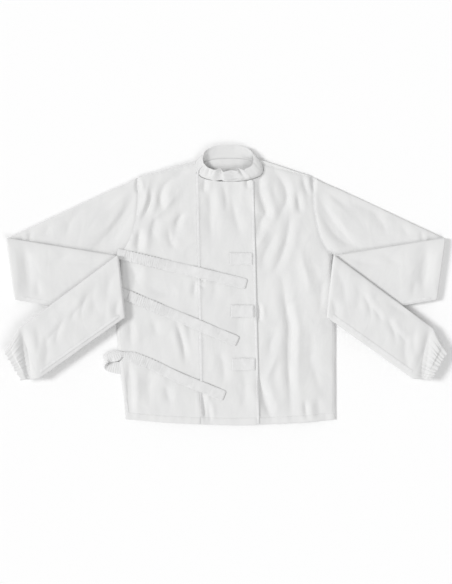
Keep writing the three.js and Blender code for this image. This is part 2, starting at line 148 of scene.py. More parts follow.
def curve_through(points, step=6 * MM):
    """A smooth open line through the points."""
    p = np.array(points, float)
    if len(p) == 2:
        p = np.array([p[0], (p[0] + p[1]) / 2, p[1]])
    ends = np.vstack([2 * p[0] - p[1], p, 2 * p[-1] - p[-2]])
    made = []
    for i in range(1, len(ends) - 2):
        a, b, c, d = ends[i - 1 : i + 3]
        count = max(2, int(np.ceil(np.linalg.norm(c - b) / step)))
        t = np.linspace(0, 1, count, endpoint=False)[:, None]
        bend = (2 * a - 5 * b + 4 * c - d) * t**2 + (3 * b - a - 3 * c + d) * t**3
        made.append(0.5 * (2 * b + (c - a) * t + bend))
    return np.vstack(made + [ends[-2][None]])


def even_line(points, step):
    """The same line in even steps that keep its two ends."""
    p = np.array(points, float)
    lengths = np.r_[0, np.cumsum(np.linalg.norm(np.diff(p, axis=0), axis=1))]
    count = max(2, int(round(lengths[-1] / step)) + 1)
    at = np.linspace(0, lengths[-1], count)
    return np.stack([np.interp(at, lengths, p[:, k]) for k in range(p.shape[1])], 1)


def near_line(x, y, line):
    """Distance from each point to the line, the side it lies on and how far along it is."""
    best = np.full(x.shape, 1e9)
    side = np.zeros(x.shape)
    along = np.zeros(x.shape)
    steps = np.linalg.norm(np.diff(line, axis=0), axis=1)
    begun = np.r_[0, np.cumsum(steps)]
    for i, (a, b) in enumerate(zip(line[:-1], line[1:])):
        dx, dy = b - a
        size = dx * dx + dy * dy + 1e-18
        t = np.clip(((x - a[0]) * dx + (y - a[1]) * dy) / size, 0, 1)
        ox, oy = x - a[0] - t * dx, y - a[1] - t * dy
        distance = np.sqrt(ox * ox + oy * oy)
        closer = distance < best
        best = np.where(closer, distance, best)
        side = np.where(closer, np.sign(dx * oy - dy * ox), side)
        along = np.where(closer, (begun[i] + t * steps[i]) / begun[-1], along)
    return best, side, along


def fold_heights(x, y, folds):
    """Sum of the folds at each point.

    A fold is its path and width in millimetres, and its depth, which is negative for a ridge.
    """
    total = np.zeros(x.shape)
    for path, width, depth in folds:
        line = curve_through(np.array(path, float) * MM)
        w = width * FOLD_WIDENING * MM
        reach = 3.2 * w
        low, high = line.min(0) - reach, line.max(0) + reach
        inside = (x > low[0]) & (x < high[0]) & (y > low[1]) & (y < high[1])
        if not inside.any():
            continue
        distance, side, along = near_line(x[inside], y[inside], line)
        u = distance * side / w
        fade = smooth(along / 0.42) * smooth((1 - along) / 0.42) * 0.7 + 0.3 * np.sin(np.pi * along)
        hollow = -0.5 * bell(u, 0.42) - 0.62 * bell(u, 0.95)
        shoulders = 0.40 * bell(u - 1.45, 0.8) + 0.22 * bell(u + 1.5, 0.85)
        total[inside] += depth * FOLD_DEEPENING * MM * fade * (hollow + shoulders)
    return total


# ---- Outlines from the frame -------------------------------------------------------------
def outline(node):
    """The edge of a CAD node's upper face, anticlockwise."""
    mesh = frame["nodes"][node].data
    corners = np.array([v.co for v in mesh.vertices], float)
    top = corners[:, 2].max()
    names = {}
    merged = np.array([names.setdefault(tuple(np.round(c, 5)), len(names)) for c in corners])
    place = np.zeros((len(names), 3))
    place[merged] = corners
    mesh.calc_loop_triangles()
    edges = set()
    for triangle in mesh.loop_triangles:
        if min(corners[i][2] for i in triangle.vertices) > top - 2e-5:
            a, b, c = (int(merged[i]) for i in triangle.vertices)
            for edge in ((a, b), (b, c), (c, a)):
                if (edge[1], edge[0]) in edges:
                    edges.discard((edge[1], edge[0]))
                else:
                    edges.add(edge)
    follow = dict(edges)
    start = min(follow)
    loop = [start]
    while follow[loop[-1]] != start:
        loop.append(follow[loop[-1]])
    points = place[loop][:, :2]
    x, y = points[:, 0], points[:, 1]
    if np.sum(x * np.roll(y, -1) - np.roll(x, -1) * y) < 0:
        points = points[::-1]
    return points


def strip_of(node, heading):
    """Start and end of a CAD strip's middle line, and its width, for a strip that runs along heading."""
    corners = np.array([v.co for v in frame["nodes"][node].data.vertices], float)[:, :2]
    run = np.array([math.cos(heading), math.sin(heading)])
    across = np.array([-run[1], run[0]])
    s, v = corners @ run, corners @ across
    middle = (v.min() + v.max()) / 2
    return run * s.min() + across * middle, run * s.max() + across * middle, v.max() - v.min()


# ---- Relief of the laid body: its folds, as fold_heights takes them -------------------------
RIGHT_FRONT_FOLDS = [
    ([(-208, 272), (-208, 234), (-220, 200), (-240, 168)], 9, 3.2),
    ([(-244, 294), (-242, 250)], 8, 4.5),
    ([(-236, 160), (-244, 84)], 12, 4.8),
    ([(-182, 266), (-178, 220), (-164, 196)], 15, 2.4),
    ([(-112, 208), (-132, 174), (-140, 138), (-144, 108)], 15, 2.6),
    ([(-192, 200), (-206, 124)], 13, 2.0),
    ([(-270, 58), (-250, 30), (-252, -14)], 16, 2.6),
    ([(-82, 20), (-90, -42)], 9, 2.2),
    ([(-140, -90), (-124, -140), (-115, -181), (-112, -222)], 9, 3.0),
    ([(-198, -90), (-190, -146)], 16, 1.8),
    ([(-262, -86), (-262, -174)], 12, 2.4),
    ([(-267, -196), (-265, -276), (-266, -382)], 12, 4.5),
    ([(-168, -270), (-152, -330)], 13, 2.0),
    ([(-148, 300), (-120, 310), (-100, 322)], 14, 1.8),
    ([(-118, 300), (-163, 280), (-180, 241), (-174, 212)], 11, 2.4),
    ([(-157, 164), (-155, 127), (-138, 92)], 11, 2.0),
    ([(-118, 200), (-140, 160)], 9, 2.4),
    ([(-107, 283), (-138, 247), (-174, 205), (-208, 171), (-216, 121)], 11, -1.8),
    ([(-210, 302), (-221, 233), (-241, 183)], 9, -1.8),
    ([(-100, -40), (-104, -150), (-96, -260)], 22, 1.4),
    ([(-200, -190), (-214, -270), (-208, -350)], 20, 1.6),
    ([(-230, 10), (-180, -20), (-120, -18)], 18, 1.4),
]
FLAP_FOLDS = [
    ([(-57, 300), (-62, 250)], 8, 2.6),
    ([(-52, 288), (-44, 234), (-42, 164), (-38, 102)], 17, 2.4),
    ([(-12, 294), (0, 234), (-2, 192)], 11, 1.8),
    ([(22, 300), (16, 256), (22, 208), (36, 152), (46, 118)], 15, 2.3),
    ([(57, 300), (60, 262)], 7, 2.8),
    ([(-20, -174), (-6, -228), (-8, -278)], 14, 1.9),
    ([(-68, -278), (-62, -320), (-54, -384)], 8, 4.2),
    ([(-50, -310), (-42, -384)], 7, 3.0),
    ([(-40, 60), (-30, 10), (-36, -60)], 18, 1.4),
    ([(30, -40), (36, -90), (28, -150)], 18, 1.3),
    ([(40, -200), (52, -280), (44, -372)], 18, 1.6),
    ([(-74, 22), (-56, 4)], 6, 1.6),
    ([(-76, 4), (-58, -8)], 6, 1.4),
]
LEFT_FRONT_FOLDS = [
    ([(96, 340), (93, 300), (95, 255), (105, 224), (111, 196), (98, 176), (88, 122)], 13, 5.0),
    ([(124, 326), (145, 300), (163, 270), (168, 235), (156, 205), (136, 164)], 12, 2.8),
    ([(178, 222), (178, 190), (172, 150), (164, 110), (148, 66), (116, 12)], 13, 2.8),
    ([(194, 262), (206, 190)], 9, 2.8),
    ([(208, 310), (220, 266), (230, 240)], 9, 2.6),
    ([(238, 316), (242, 250)], 9, 4.2),
    ([(130, 152), (128, 126), (108, 86), (98, 40)], 14, 2.5),
    ([(84, 104), (116, 156)], 11, -1.8),
    ([(202, 116), (212, 66), (226, 10), (226, -40)], 14, -1.9),
    (
        [(150, 44), (160, -16), (166, -60), (176, -116), (175, -170), (174, -240), (177, -306), (181, -378)],
        13,
        5.2,
    ),
    ([(220, -92), (236, -148), (234, -200), (248, -250), (264, -312)], 21, 2.4),
    ([(138, -122), (124, -160), (116, -206)], 13, 1.9),
    ([(87, -234), (98, -286), (112, -330), (130, -380)], 14, 4.6),
    ([(148, -170), (126, -226), (104, -272)], 11, -1.7),
    ([(218, -310), (222, -376)], 9, 2.6),
    ([(89, -46), (91, -106)], 8, 4.0),
    ([(250, -300), (258, -372)], 15, 1.6),
    ([(280, 40), (262, -30), (268, -100)], 16, 2.2),
]
BODY_FOLDS = RIGHT_FRONT_FOLDS + FLAP_FOLDS + LEFT_FRONT_FOLDS

back_loop = outline("back_panel")


def edge_between(loop, first, last):
    """The stretch of a loop from the corner nearest first to the one nearest last, going anticlockwise."""
    i = int(np.argmin(np.linalg.norm(loop - np.array(first), axis=1)))
    j = int(np.argmin(np.linalg.norm(loop - np.array(last), axis=1)))
    run = list(range(i, j + 1)) if j >= i else list(range(i, len(loop))) + list(range(0, j + 1))
    return loop[run]


hem_right = back_loop[np.argmin(back_loop @ np.array([1, 1.0]))]
hem_left = back_loop[np.argmax(back_loop @ np.array([1, -1.0]))]
tip_y = SHOULDER_TIP[1] * MM
right_tip = np.array([-SHOULDER_TIP[0] * MM, tip_y])
left_tip = np.array([SHOULDER_TIP[0] * MM, tip_y])
right_armpit = np.array([-ARMPIT[0] * MM, ARMPIT[1] * MM])
left_armpit = np.array([ARMPIT[0] * MM, ARMPIT[1] * MM])
hem_loop = outline("back_hem")
hem_low_right = hem_loop[np.argmin(hem_loop @ np.array([1, 1.0]))]
hem_low_left = hem_loop[np.argmax(hem_loop @ np.array([1, -1.0]))]
hem_line = edge_between(hem_loop, hem_low_right, hem_low_left)
right_side = np.vstack([edge_between(back_loop, right_armpit, hem_right), hem_line[:1]])
left_side = np.vstack([hem_line[-1:], edge_between(back_loop, hem_left, left_armpit)])
armholes = []
for out, corner, tip in ((-1, right_armpit, right_tip), (1, left_armpit, left_tip)):
    loop = outline(("right" if out < 0 else "left") + "_front_panel")
    line = edge_between(loop, tip, corner) if out < 0 else edge_between(loop, corner, tip)
    armholes.append(line[np.argsort(line[:, 1])])
right_neck = np.array([-70 * MM, 352 * MM])
left_neck = np.array([90 * MM, 352 * MM])
right_shoulder = edge_between(back_loop, right_neck, right_tip)
left_shoulder = edge_between(back_loop, left_tip, left_neck)


def roll_down(distance, over, depth):
    """How much a surface drops near a rolled edge."""
    t = np.clip(1 - distance / over, 0, 1)
    return depth * (1 - np.sqrt(np.clip(1 - t * t, 0, 1)))


def front_height(x, y):
    """Top face of the front panels."""
    sides = np.minimum(near_line(x, y, right_side)[0], near_line(x, y, left_side)[0])
    z = FRONT_TOP + 2.2 * MM * smooth((sides - 20 * MM) / (45 * MM))
    z += 1.7 * MM * drift(x, y / 2.6, 0.058, 3)
    z += 0.8 * MM * drift(x + 0.25 * y, y / 2.8, 0.023, 8) + 0.25 * MM * drift(x - 0.3 * y, y / 2, 0.010, 12)
    z += fold_heights(x, y, BODY_FOLDS)
    for side in (right_side, left_side):
        distance, _, _ = near_line(x, y, side)
        z -= roll_down(distance, EDGE_ROLL, 5.6 * MM)
    for shoulder in (right_shoulder, left_shoulder):
        distance, _, _ = near_line(x, y, shoulder)
        z -= roll_down(distance, 11 * MM, 5.0 * MM)
    for armhole in armholes:
        distance, _, _ = near_line(x, y, armhole)
        z -= 1.9 * MM * bell(distance, 3.2 * MM) + 1.3 * MM * bell(distance, 11 * MM)
    distance, _, along = near_line(x, y, hem_line)
    waves = 1.4 + 0.9 * np.sin(along * 21) + 0.7 * np.sin(along * 47 + 1)
    z -= smooth(1 - distance / (70 * MM)) * waves * MM
    return np.maximum(z, 3.3 * MM)


def flap_edge_x(y):
    """The flap's free edge."""
    return (-82 + 13 * (295 * MM - y) / (665 * MM)) * MM


def seam_x(y):
    """The seam that joins the flap to the left front."""
    return (71.5 + 16.5 * (316 * MM - y) / (686 * MM)) * MM


def flap_height(x, y):
    z = front_height(x, y) + FLAP_LIFT
    edge = np.abs(x - flap_edge_x(y))
    return z + 0.7 * MM * bell(edge, 9 * MM)


def outer_height(x, y):
    """Top face of whatever lies uppermost on the front, for what rests on it."""
    past_edge = smooth((x - flap_edge_x(y) + 10 * MM) / (9 * MM))
    before_seam = smooth((seam_x(y) - x + 4 * MM) / (6 * MM))
    return front_height(x, y) + (FLAP_LIFT + 0.5 * MM) * past_edge * before_seam


# ---- Making meshes -----------------------------------------------------------------------
def make_mesh(name, points, faces, uv, material, sharp=46):
    mesh = bpy.data.meshes.new(name)
    mesh.from_pydata([tuple(p) for p in points], [], faces)
    layer = mesh.uv_layers.new(name="Cloth")
    index = np.zeros(len(mesh.loops), np.int32)
    mesh.loops.foreach_get("vertex_index", index)
    layer.data.foreach_set("uv", np.asarray(uv, np.float32)[index].ravel())
    mesh.polygons.foreach_set("use_smooth", np.ones(len(mesh.polygons), bool))
    mesh.set_sharp_from_angle(angle=math.radians(sharp))
    mesh.materials.append(material)
    piece = bpy.data.objects.new(name, mesh)
    bpy.context.scene.collection.objects.link(piece)
    return piece


def face_normals(points, triangles):
    a, b, c = (points[triangles[:, k]] for k in range(3))
    normal = np.cross(b - a, c - a)
    total = np.zeros_like(points)
    for k in range(3):
        np.add.at(total, triangles[:, k], normal)
    return total / (np.linalg.norm(total, axis=1, keepdims=True) + 1e-18)


def rim(faces):
    """Directed edges that only one face has."""
    edges = set()
    for face in faces:
        for a, b in zip(face, face[1:] + face[:1]):
            if (b, a) in edges:
                edges.discard((b, a))
            else:
                edges.add((a, b))
    return edges


def thicken(points, faces, uv, thickness):
    """A closed layer of cloth: the given face outside, and a second one inside it."""
    triangles = np.array([(f[0], f[k], f[k + 1]) for f in faces for k in range(1, len(f) - 1)])
    inner = points - face_normals(points, triangles) * thickness
    n = len(points)
    closed = list(faces) + [tuple(i + n for i in reversed(f)) for f in faces]
    closed += [(b, a, a + n, b + n) for a, b in rim(faces)]
    return np.vstack([points, inner]), closed, np.vstack([uv, uv])


def inside_loop(x, y, loop):
    found = np.zeros(x.shape, bool)
    for (ax, ay), (bx, by) in zip(loop, np.roll(loop, -1, axis=0)):
        crosses = (ay > y) != (by > y)
        found ^= crosses & (x < (bx - ax) * (y - ay) / (by - ay + 1e-18) + ax)
    return found


def cut_cloth(name, loop, height, material, spacing=4 * MM, thickness=CLOTH):
    """A flat-cut piece laid over what is under it."""
    sides = [even_line([a, b], spacing)[:-1] for a, b in zip(loop, np.roll(loop, -1, axis=0))]
    border = np.vstack(sides)
    low, high = loop.min(0), loop.max(0)
    rows = np.arange(low[1], high[1], spacing * 0.866)
    xs, ys = [], []
    for k, row in enumerate(rows):
        line = np.arange(low[0] + (k % 2) * spacing / 2, high[0], spacing)
        xs.append(line)
        ys.append(np.full(len(line), row))
    x, y = np.concatenate(xs), np.concatenate(ys)
    keep = inside_loop(x, y, loop)
    x, y = x[keep], y[keep]
    distance, _, _ = near_line(x, y, np.vstack([loop, loop[:1]]))
    keep = distance > spacing * 0.55
    flat = np.vstack([border, np.stack([x[keep], y[keep]], 1)])
    count = len(border)
    found = delaunay_2d_cdt(
        [Vector(p) for p in flat], [(i, (i + 1) % count) for i in range(count)], [list(range(count))], 1, 1e-8
    )
    flat = np.array([tuple(p) for p in found[0]])
    faces = [tuple(f) for f in found[2]]
    a, b, c = (flat[[f[k] for f in faces]] for k in range(3))
    turned = (b[:, 0] - a[:, 0]) * (c[:, 1] - a[:, 1]) - (b[:, 1] - a[:, 1]) * (c[:, 0] - a[:, 0]) < 0
    faces = [tuple(reversed(f)) if t else f for f, t in zip(faces, turned)]
    points = np.column_stack([flat, height(flat[:, 0], flat[:, 1])])
    points, faces, uv = thicken(points, faces, flat, thickness)
    return make_mesh(name, points, faces, uv, material)


def close_rings(name, rings, uv, material, open_ends=False, thickness=None, sharp=46):
    """Skins a row of closed rings. The ends are closed, or left open for a sleeve."""
    n, m = rings.shape[:2]
    points = rings.reshape(-1, 3)
    faces = [
        (i * m + j, (i + 1) * m + j, (i + 1) * m + (j + 1) % m, i * m + (j + 1) % m)
        for i in range(n - 1)
        for j in range(m)
    ]
    flat = uv.reshape(-1, 2)
    if open_ends:
        points, faces, flat = thicken(points, faces, flat, thickness)
    else:
        half = m // 2
        for i, order in ((0, 1), (n - 1, -1)):
            ring = [i * m + j for j in range(m)]
            for j in range(half):
                quad = [ring[j], ring[j + 1], ring[(m - j - 1) % m], ring[(m - j) % m]]
                quad = [q for k, q in enumerate(quad) if q not in quad[:k]]
                if len(quad) > 2:
                    faces.append(tuple(quad[::order]))
    return make_mesh(name, points, faces, flat, material, sharp)


def ribbon(name, path, left, right, height, thickness, material, columns=9, spacing=3 * MM, own_path=False):
    """A closed strip of cloth along a path, with rounded edges. height(x, y, s, v) is its middle surface."""
    line = np.array(path, float) if own_path else even_line(path, spacing)
    ahead = np.gradient(line, axis=0)
    ahead /= np.linalg.norm(ahead, axis=1, keepdims=True) + 1e-18
    across = np.stack([-ahead[:, 1], ahead[:, 0]], 1)
    s = np.r_[0, np.cumsum(np.linalg.norm(np.diff(line, axis=0), axis=1))]
    v = np.linspace(-1, 1, columns)
    v = np.sign(v) * (1 - (1 - np.abs(v)) ** 1.35)
    left = np.broadcast_to(left, s.shape)[:, None]
    right = np.broadcast_to(right, s.shape)[:, None]
    offset = np.where(v[None] > 0, v[None] * left, v[None] * right)
    x = line[:, :1] + across[:, :1] * offset
    y = line[:, 1:] + across[:, 1:] * offset
    sv = np.broadcast_to(s[:, None], x.shape)
    vv = np.broadcast_to(v[None], x.shape)
    middle = height(x, y, sv, vv)
    cap = np.sqrt(np.clip(1 - np.abs(vv) ** 8, 0, 1))
    near_end = np.minimum(sv, s[-1] - sv) / (1.2 * MM)
    cap = cap * np.sqrt(np.clip(1 - (1 - np.clip(near_end, 0, 1)) ** 2, 0.02, 1))
    top = middle + cap * thickness / 2
    bottom = middle - cap * thickness / 2
    upper = np.stack([x, y, top], 2)
    lower = np.stack([x, y, bottom], 2)[:, -2:0:-1]
    rings = np.concatenate([upper, lower], 1)[:, ::-1]
    uv = np.stack([sv, offset * np.ones_like(sv)], 2)
    uv = np.concatenate([uv, uv[:, -2:0:-1]], 1)[:, ::-1]
    return close_rings(name, rings, uv, material, sharp=60)


def on_top(heights, gap):
    """Turns a height of what is below into the middle surface of a strip that lies on it."""
    return lambda x, y, s, v: heights(x, y) + gap


# ---- Materials ---------------------------------------------------------------------------
def new_group(name, inputs, outputs):
    group = bpy.data.node_groups.new(name, "ShaderNodeTree")
    for label, kind, value in inputs:
        socket = group.interface.new_socket(name=label, in_out="INPUT", socket_type=kind)
        if value is not None:
            socket.default_value = value
    for label, kind in outputs:
        group.interface.new_socket(name=label, in_out="OUTPUT", socket_type=kind)
    return group, group.nodes.new("NodeGroupInput"), group.nodes.new("NodeGroupOutput")


def sum_node(group, operation, a, b=None, clamp=False):
    node = group.nodes.new("ShaderNodeMath")
    node.operation = operation
    node.use_clamp = clamp
    for socket, value in zip(node.inputs, (a, b)):
        if value is None:
            continue
        if isinstance(value, (int, float)):
            socket.default_value = value
        else:
            group.links.new(value, socket)
    return node.outputs[0]


def build_weave():
    """Plain weave from the cloth's own flat coordinates, in metres; its Tone output is painted shade, darker
    where the threads dip.
    """
    group, given, out = new_group(
        "Plain_weave",
        [
            ("Vector", "NodeSocketVector", None),
            ("Threads", "NodeSocketFloat", 900.0),
            ("Slub", "NodeSocketFloat", 0.3),
        ],
        [("Height", "NodeSocketFloat"), ("Tone", "NodeSocketFloat")],
    )
    split = group.nodes.new("ShaderNodeSeparateXYZ")
    group.links.new(given.outputs["Vector"], split.inputs[0])
    waves = []
    for axis in (0, 1):
        scaled = sum_node(group, "MULTIPLY", split.outputs[axis], given.outputs["Threads"])
        waves.append(sum_node(group, "SINE", sum_node(group, "MULTIPLY", scaled, 6.2832)))
    over = sum_node(group, "MULTIPLY", waves[0], waves[1])
    slub = group.nodes.new("ShaderNodeTexNoise")
    slub.inputs["Scale"].default_value = 260
    slub.inputs["Detail"].default_value = 3
    group.links.new(given.outputs["Vector"], slub.inputs["Vector"])
    uneven = sum_node(group, "MULTIPLY", slub.outputs[0], given.outputs["Slub"])
    threads = sum_node(group, "MULTIPLY", over, 0.5)
    group.links.new(sum_node(group, "ADD", threads, uneven), out.inputs["Height"])
    # Tone is painted shade: the weave's low spots come out darker.
    group.links.new(sum_node(group, "MULTIPLY_ADD", over, 0.5, True), out.inputs["Tone"])
    return group


def build_crumple():
    """Small soft creases and dents left by wear and washing; its Tone output also gives painted shade, lowest
    in their hollows.
    """
    group, given, out = new_group(
        "Washed_crumple",
        [
            ("Vector", "NodeSocketVector", None),
            ("Scale", "NodeSocketFloat", 26.0),
            ("Stretch", "NodeSocketFloat", 0.5),
        ],
        [("Height", "NodeSocketFloat"), ("Tone", "NodeSocketFloat")],
    )
    split = group.nodes.new("ShaderNodeSeparateXYZ")
    group.links.new(given.outputs["Vector"], split.inputs[0])
    join = group.nodes.new("ShaderNodeCombineXYZ")
    group.links.new(split.outputs[0], join.inputs[0])
    group.links.new(sum_node(group, "MULTIPLY", split.outputs[1], given.outputs["Stretch"]), join.inputs[1])
    broad = group.nodes.new("ShaderNodeTexNoise")
    broad.inputs["Detail"].default_value = 4
    broad.inputs["Roughness"].default_value = 0.48
    broad.inputs["Distortion"].default_value = 0.9
    group.links.new(join.outputs[0], broad.inputs["Vector"])
    group.links.new(given.outputs["Scale"], broad.inputs["Scale"])
    sharp = group.nodes.new("ShaderNodeTexNoise")
    sharp.noise_type = "RIDGED_MULTIFRACTAL"
    sharp.inputs["Detail"].default_value = 2
    sharp.inputs["Distortion"].default_value = 1.4
    group.links.new(join.outputs[0], sharp.inputs["Vector"])
    group.links.new(sum_node(group, "MULTIPLY", given.outputs["Scale"], 0.62), sharp.inputs["Scale"])
    both = sum_node(group, "ADD", broad.outputs[0], sum_node(group, "MULTIPLY", sharp.outputs[0], 0.18))
    group.links.new(both, out.inputs["Height"])
    # Tone is painted shade that follows the bump: low where the creases dip.
    group.links.new(broad.outputs[0], out.inputs["Tone"])
    return group


weave_group = build_weave()
crumple_group = build_crumple()


def cloth_material(
    name,
    color,
    painted_hollow_shade,
    roughness,
    threads,
    weave_depth,
    crumple_depth,
    crumple_scale=26.0,
    sheen=0.25,
    slub=0.3,
):
    """A woven finish, with its depths in millimetres.

    color is the cloth's own colour; the second colour is painted shade, a slightly greyer colour laid into
    the crumple bump's hollows.
    """
    material = bpy.data.materials.new(name)
    material.use_nodes = True
    tree = material.node_tree
    nodes, links = tree.nodes, tree.links
    surface = nodes["Principled BSDF"]
    flat = nodes.new("ShaderNodeUVMap")
    flat.uv_map = "Cloth"
    weave = nodes.new("ShaderNodeGroup")
    weave.node_tree = weave_group
    weave.inputs["Threads"].default_value = threads
    weave.inputs["Slub"].default_value = slub
    crumple = nodes.new("ShaderNodeGroup")
    crumple.node_tree = crumple_group
    crumple.inputs["Scale"].default_value = crumple_scale
    for group in (weave, crumple):
        links.new(flat.outputs[0], group.inputs["Vector"])
    # Painted shade: the colour turns greyer where the crumple bump is low.
    hollow_shade_ramp = nodes.new("ShaderNodeValToRGB")
    hollow_shade_ramp.color_ramp.elements[0].position = 0.3
    hollow_shade_ramp.color_ramp.elements[0].color = (*painted_hollow_shade, 1)
    hollow_shade_ramp.color_ramp.elements[1].position = 0.62
    hollow_shade_ramp.color_ramp.elements[1].color = (*color, 1)
    links.new(crumple.outputs["Tone"], hollow_shade_ramp.inputs[0])
    # Multiplies the hollows' painted shade by the weave's painted shade to give the base colour.
    thread = nodes.new("ShaderNodeMix")
    thread.data_type = "RGBA"
    thread.blend_type = "MULTIPLY"
    thread.inputs["Factor"].default_value = 0.5
    links.new(hollow_shade_ramp.outputs[0], thread.inputs["A"])
    # Painted shade: makes the colour a little darker in the weave's low spots.
    weave_dip_shade = nodes.new("ShaderNodeValToRGB")
    weave_dip_shade.color_ramp.elements[0].color = (0.93, 0.93, 0.93, 1)
    weave_dip_shade.color_ramp.elements[1].color = (1, 1, 1, 1)
    links.new(weave.outputs["Tone"], weave_dip_shade.inputs[0])
    links.new(weave_dip_shade.outputs[0], thread.inputs["B"])
    links.new(thread.outputs["Result"], surface.inputs["Base Color"])
    fine = nodes.new("ShaderNodeBump")
    fine.inputs["Strength"].default_value = 0.6
    fine.inputs["Distance"].default_value = weave_depth * MM
    links.new(weave.outputs["Height"], fine.inputs["Height"])
    soft = nodes.new("ShaderNodeBump")
    soft.inputs["Strength"].default_value = 0.8
    soft.inputs["Distance"].default_value = crumple_depth * MM
    links.new(crumple.outputs["Height"], soft.inputs["Height"])
    links.new(fine.outputs[0], soft.inputs["Normal"])
    links.new(soft.outputs[0], surface.inputs["Normal"])
    surface.inputs["Roughness"].default_value = roughness
    surface.inputs["Sheen Weight"].default_value = sheen
    surface.inputs["Sheen Roughness"].default_value = 0.5
    surface.inputs["Specular IOR Level"].default_value = 0.25
    return material


def grey(value):
    return (value, value, value)


# In each finish the second colour is painted shade for the hollows of its crumple bump.
cotton = cloth_material("White_cotton", (0.80, 0.80, 0.797), (0.765, 0.766, 0.765), 0.9, 900, 0.10, 1.5)
seam_cloth = cloth_material("Seam_tape", grey(0.82), grey(0.76), 0.86, 800, 0.10, 0.7, 90)
tab_cloth = cloth_material("Tab_cloth", grey(0.80), grey(0.755), 0.84, 700, 0.14, 0.8, 60)
strap_cloth = cloth_material("Strap_cotton", grey(0.80), grey(0.75), 0.88, 800, 0.12, 1.0, 70)
elastic = cloth_material("Covered_elastic", grey(0.78), grey(0.72), 0.9, 650, 0.16, 1.2, 90)
hook_tape = cloth_material(
    "Hook_tape", (0.76, 0.76, 0.75), (0.70, 0.70, 0.69), 0.6, 420, 0.5, 0.2, 60, 0.1, 0.8
)
thread_cotton = cloth_material(
    "Sewing_thread", (0.84, 0.84, 0.835), (0.80, 0.80, 0.795), 0.7, 3000, 0.02, 0.05, 80
)


def stand_for(piece, slot, *nodes):
    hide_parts(*nodes)


def declare(piece, body, slot, *nodes):
    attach(piece, body)
    stand_for(piece, slot, *nodes)


# ---- Stitching ---------------------------------------------------------------------------
def stitch_row(path, height, pitch=4.6 * MM, size=2.9 * MM):
    """Where each stitch of a row lies: its middle and its two ends."""
    line = even_line(path, pitch)
    rows = []
    for a, b in zip(line[:-1], line[1:]):
        run = (b - a) / (np.linalg.norm(b - a) + 1e-18)
        middle = (a + b) / 2
        rows.append((middle - run * size / 2, middle, middle + run * size / 2))
    flat = np.array(rows)
    z = height(flat[..., 0], flat[..., 1])
    return np.concatenate([flat, z[..., None]], 2)


def sew_stitches(name, rows, material, radius=0.42 * MM):
    """One mesh of all the stitches in the rows, each a short arched thread."""
    stitches = np.concatenate(rows)
    ahead = stitches[:, 2] - stitches[:, 0]
    ahead /= np.linalg.norm(ahead, axis=1, keepdims=True) + 1e-18
    up = np.array([0, 0, 1.0])
    side = np.cross(ahead, up)
    side /= np.linalg.norm(side, axis=1, keepdims=True) + 1e-18
    rise = np.cross(side, ahead)
    points, uv = [], []
    for k, (thick, lift) in enumerate(((0.35, 0.0), (1.0, 0.5), (1.0, 0.5), (0.35, 0.0))):
        along = (-0.5, -0.25, 0.25, 0.5)[k]
        middle = stitches[:, 1] + (stitches[:, 2] - stitches[:, 0]) * along + rise * (lift * radius)
        for turn in range(6):
            angle = turn * math.pi / 3
            points.append(middle + (side * math.cos(angle) + rise * math.sin(angle)) * radius * thick)
            across = np.full(len(stitches), turn * radius)
            uv.append(np.column_stack([stitches[:, 0, 0] + along * 3 * MM, across]))
    points = np.array(points).transpose(1, 0, 2).reshape(-1, 3)
    uv = np.array(uv).transpose(1, 0, 2).reshape(-1, 2)
    faces = []
    for i in range(len(stitches)):
        base = i * 24
        for k in range(3):
            for t in range(6):
                a, b = base + k * 6 + t, base + k * 6 + (t + 1) % 6
                faces.append((a, b, b + 6, a + 6))
        faces.append(tuple(base + 5 - t for t in range(6)))
        faces.append(tuple(base + 18 + t for t in range(6)))
    return make_mesh(name, points, faces, uv, material)


# ---- Back, front panels and flap -----------------------------------------------------------
def back_height(x, y):
    """Inner face of the back, which lies on the floor and lifts a little in slow waves."""
    z = BACK_TOP + 1.1 * MM * np.clip(drift(x, y / 2.2, 0.075, 21), 0, 1)
    z += 0.5 * MM * np.clip(drift(x, y, 0.03, 5), 0, 1)
    for side in (right_side, left_side):
        distance, _, _ = near_line(x, y, side)
        z += roll_down(distance, EDGE_ROLL, 1.2 * MM)
    z += 8.0 * MM * np.exp(-(((x - 10 * MM) / (62 * MM)) ** 4) - (((y - 333 * MM) / (19 * MM)) ** 2))
    return z


panels = {}
for node, height in (
    ("back_panel", back_height),
    ("right_front_panel", front_height),
    ("front_underlap", front_height),
    ("left_front_panel", front_height),
    ("front_flap", flap_height),
):
    loop = outline(node).copy()
    lowest = loop[:, 1] < loop[:, 1].min() + 16 * MM
    loop[lowest, 1] -= 17 * MM  # the part turned up inside the hem
    panels[node] = cut_cloth("cloth_" + node, loop, height, cotton)
    if node != "front_flap":
        declare(panels[node], "root", "cotton_canvas", node)


def seam_bend(piece):
    """Bakes the piece's placement into its mesh; it is not bent over the seam."""
    joint = joints["flap_turn"]
    away = Vector((joint["axis"][1], -joint["axis"][0], 0)).normalized() * 0.009
    if away.x < 0:
        away = -away
    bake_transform(piece)


# Hems: the cloth turned up twice along the lower edge
def hem_at(xs):
    """Height along the jacket of its lower edge."""
    return np.interp(xs, hem_line[:, 0], hem_line[:, 1])


def hem_piece(node, height, lift):
    loop = outline(node)
    xs = np.linspace(loop[:, 0].min(), loop[:, 0].max(), 60)

    def middle_height(x, y, s, v):
        return height(x, y) + lift + 0.25 * MM * np.sin(s * 260)

    path = np.column_stack([xs, hem_at(xs) + 10 * MM])
    return ribbon("turned_" + node, path, 10 * MM, 10 * MM, middle_height, 2.3 * MM, cotton, 11, 4 * MM)


for node, height, lift in (
    ("back_hem", back_height, -0.1 * MM),
    ("right_front_hem", front_height, -0.2 * MM),
    ("left_front_hem", front_height, -0.2 * MM),
):
    piece = hem_piece(node, height, lift)
    declare(piece, "root", "cotton_canvas", node)

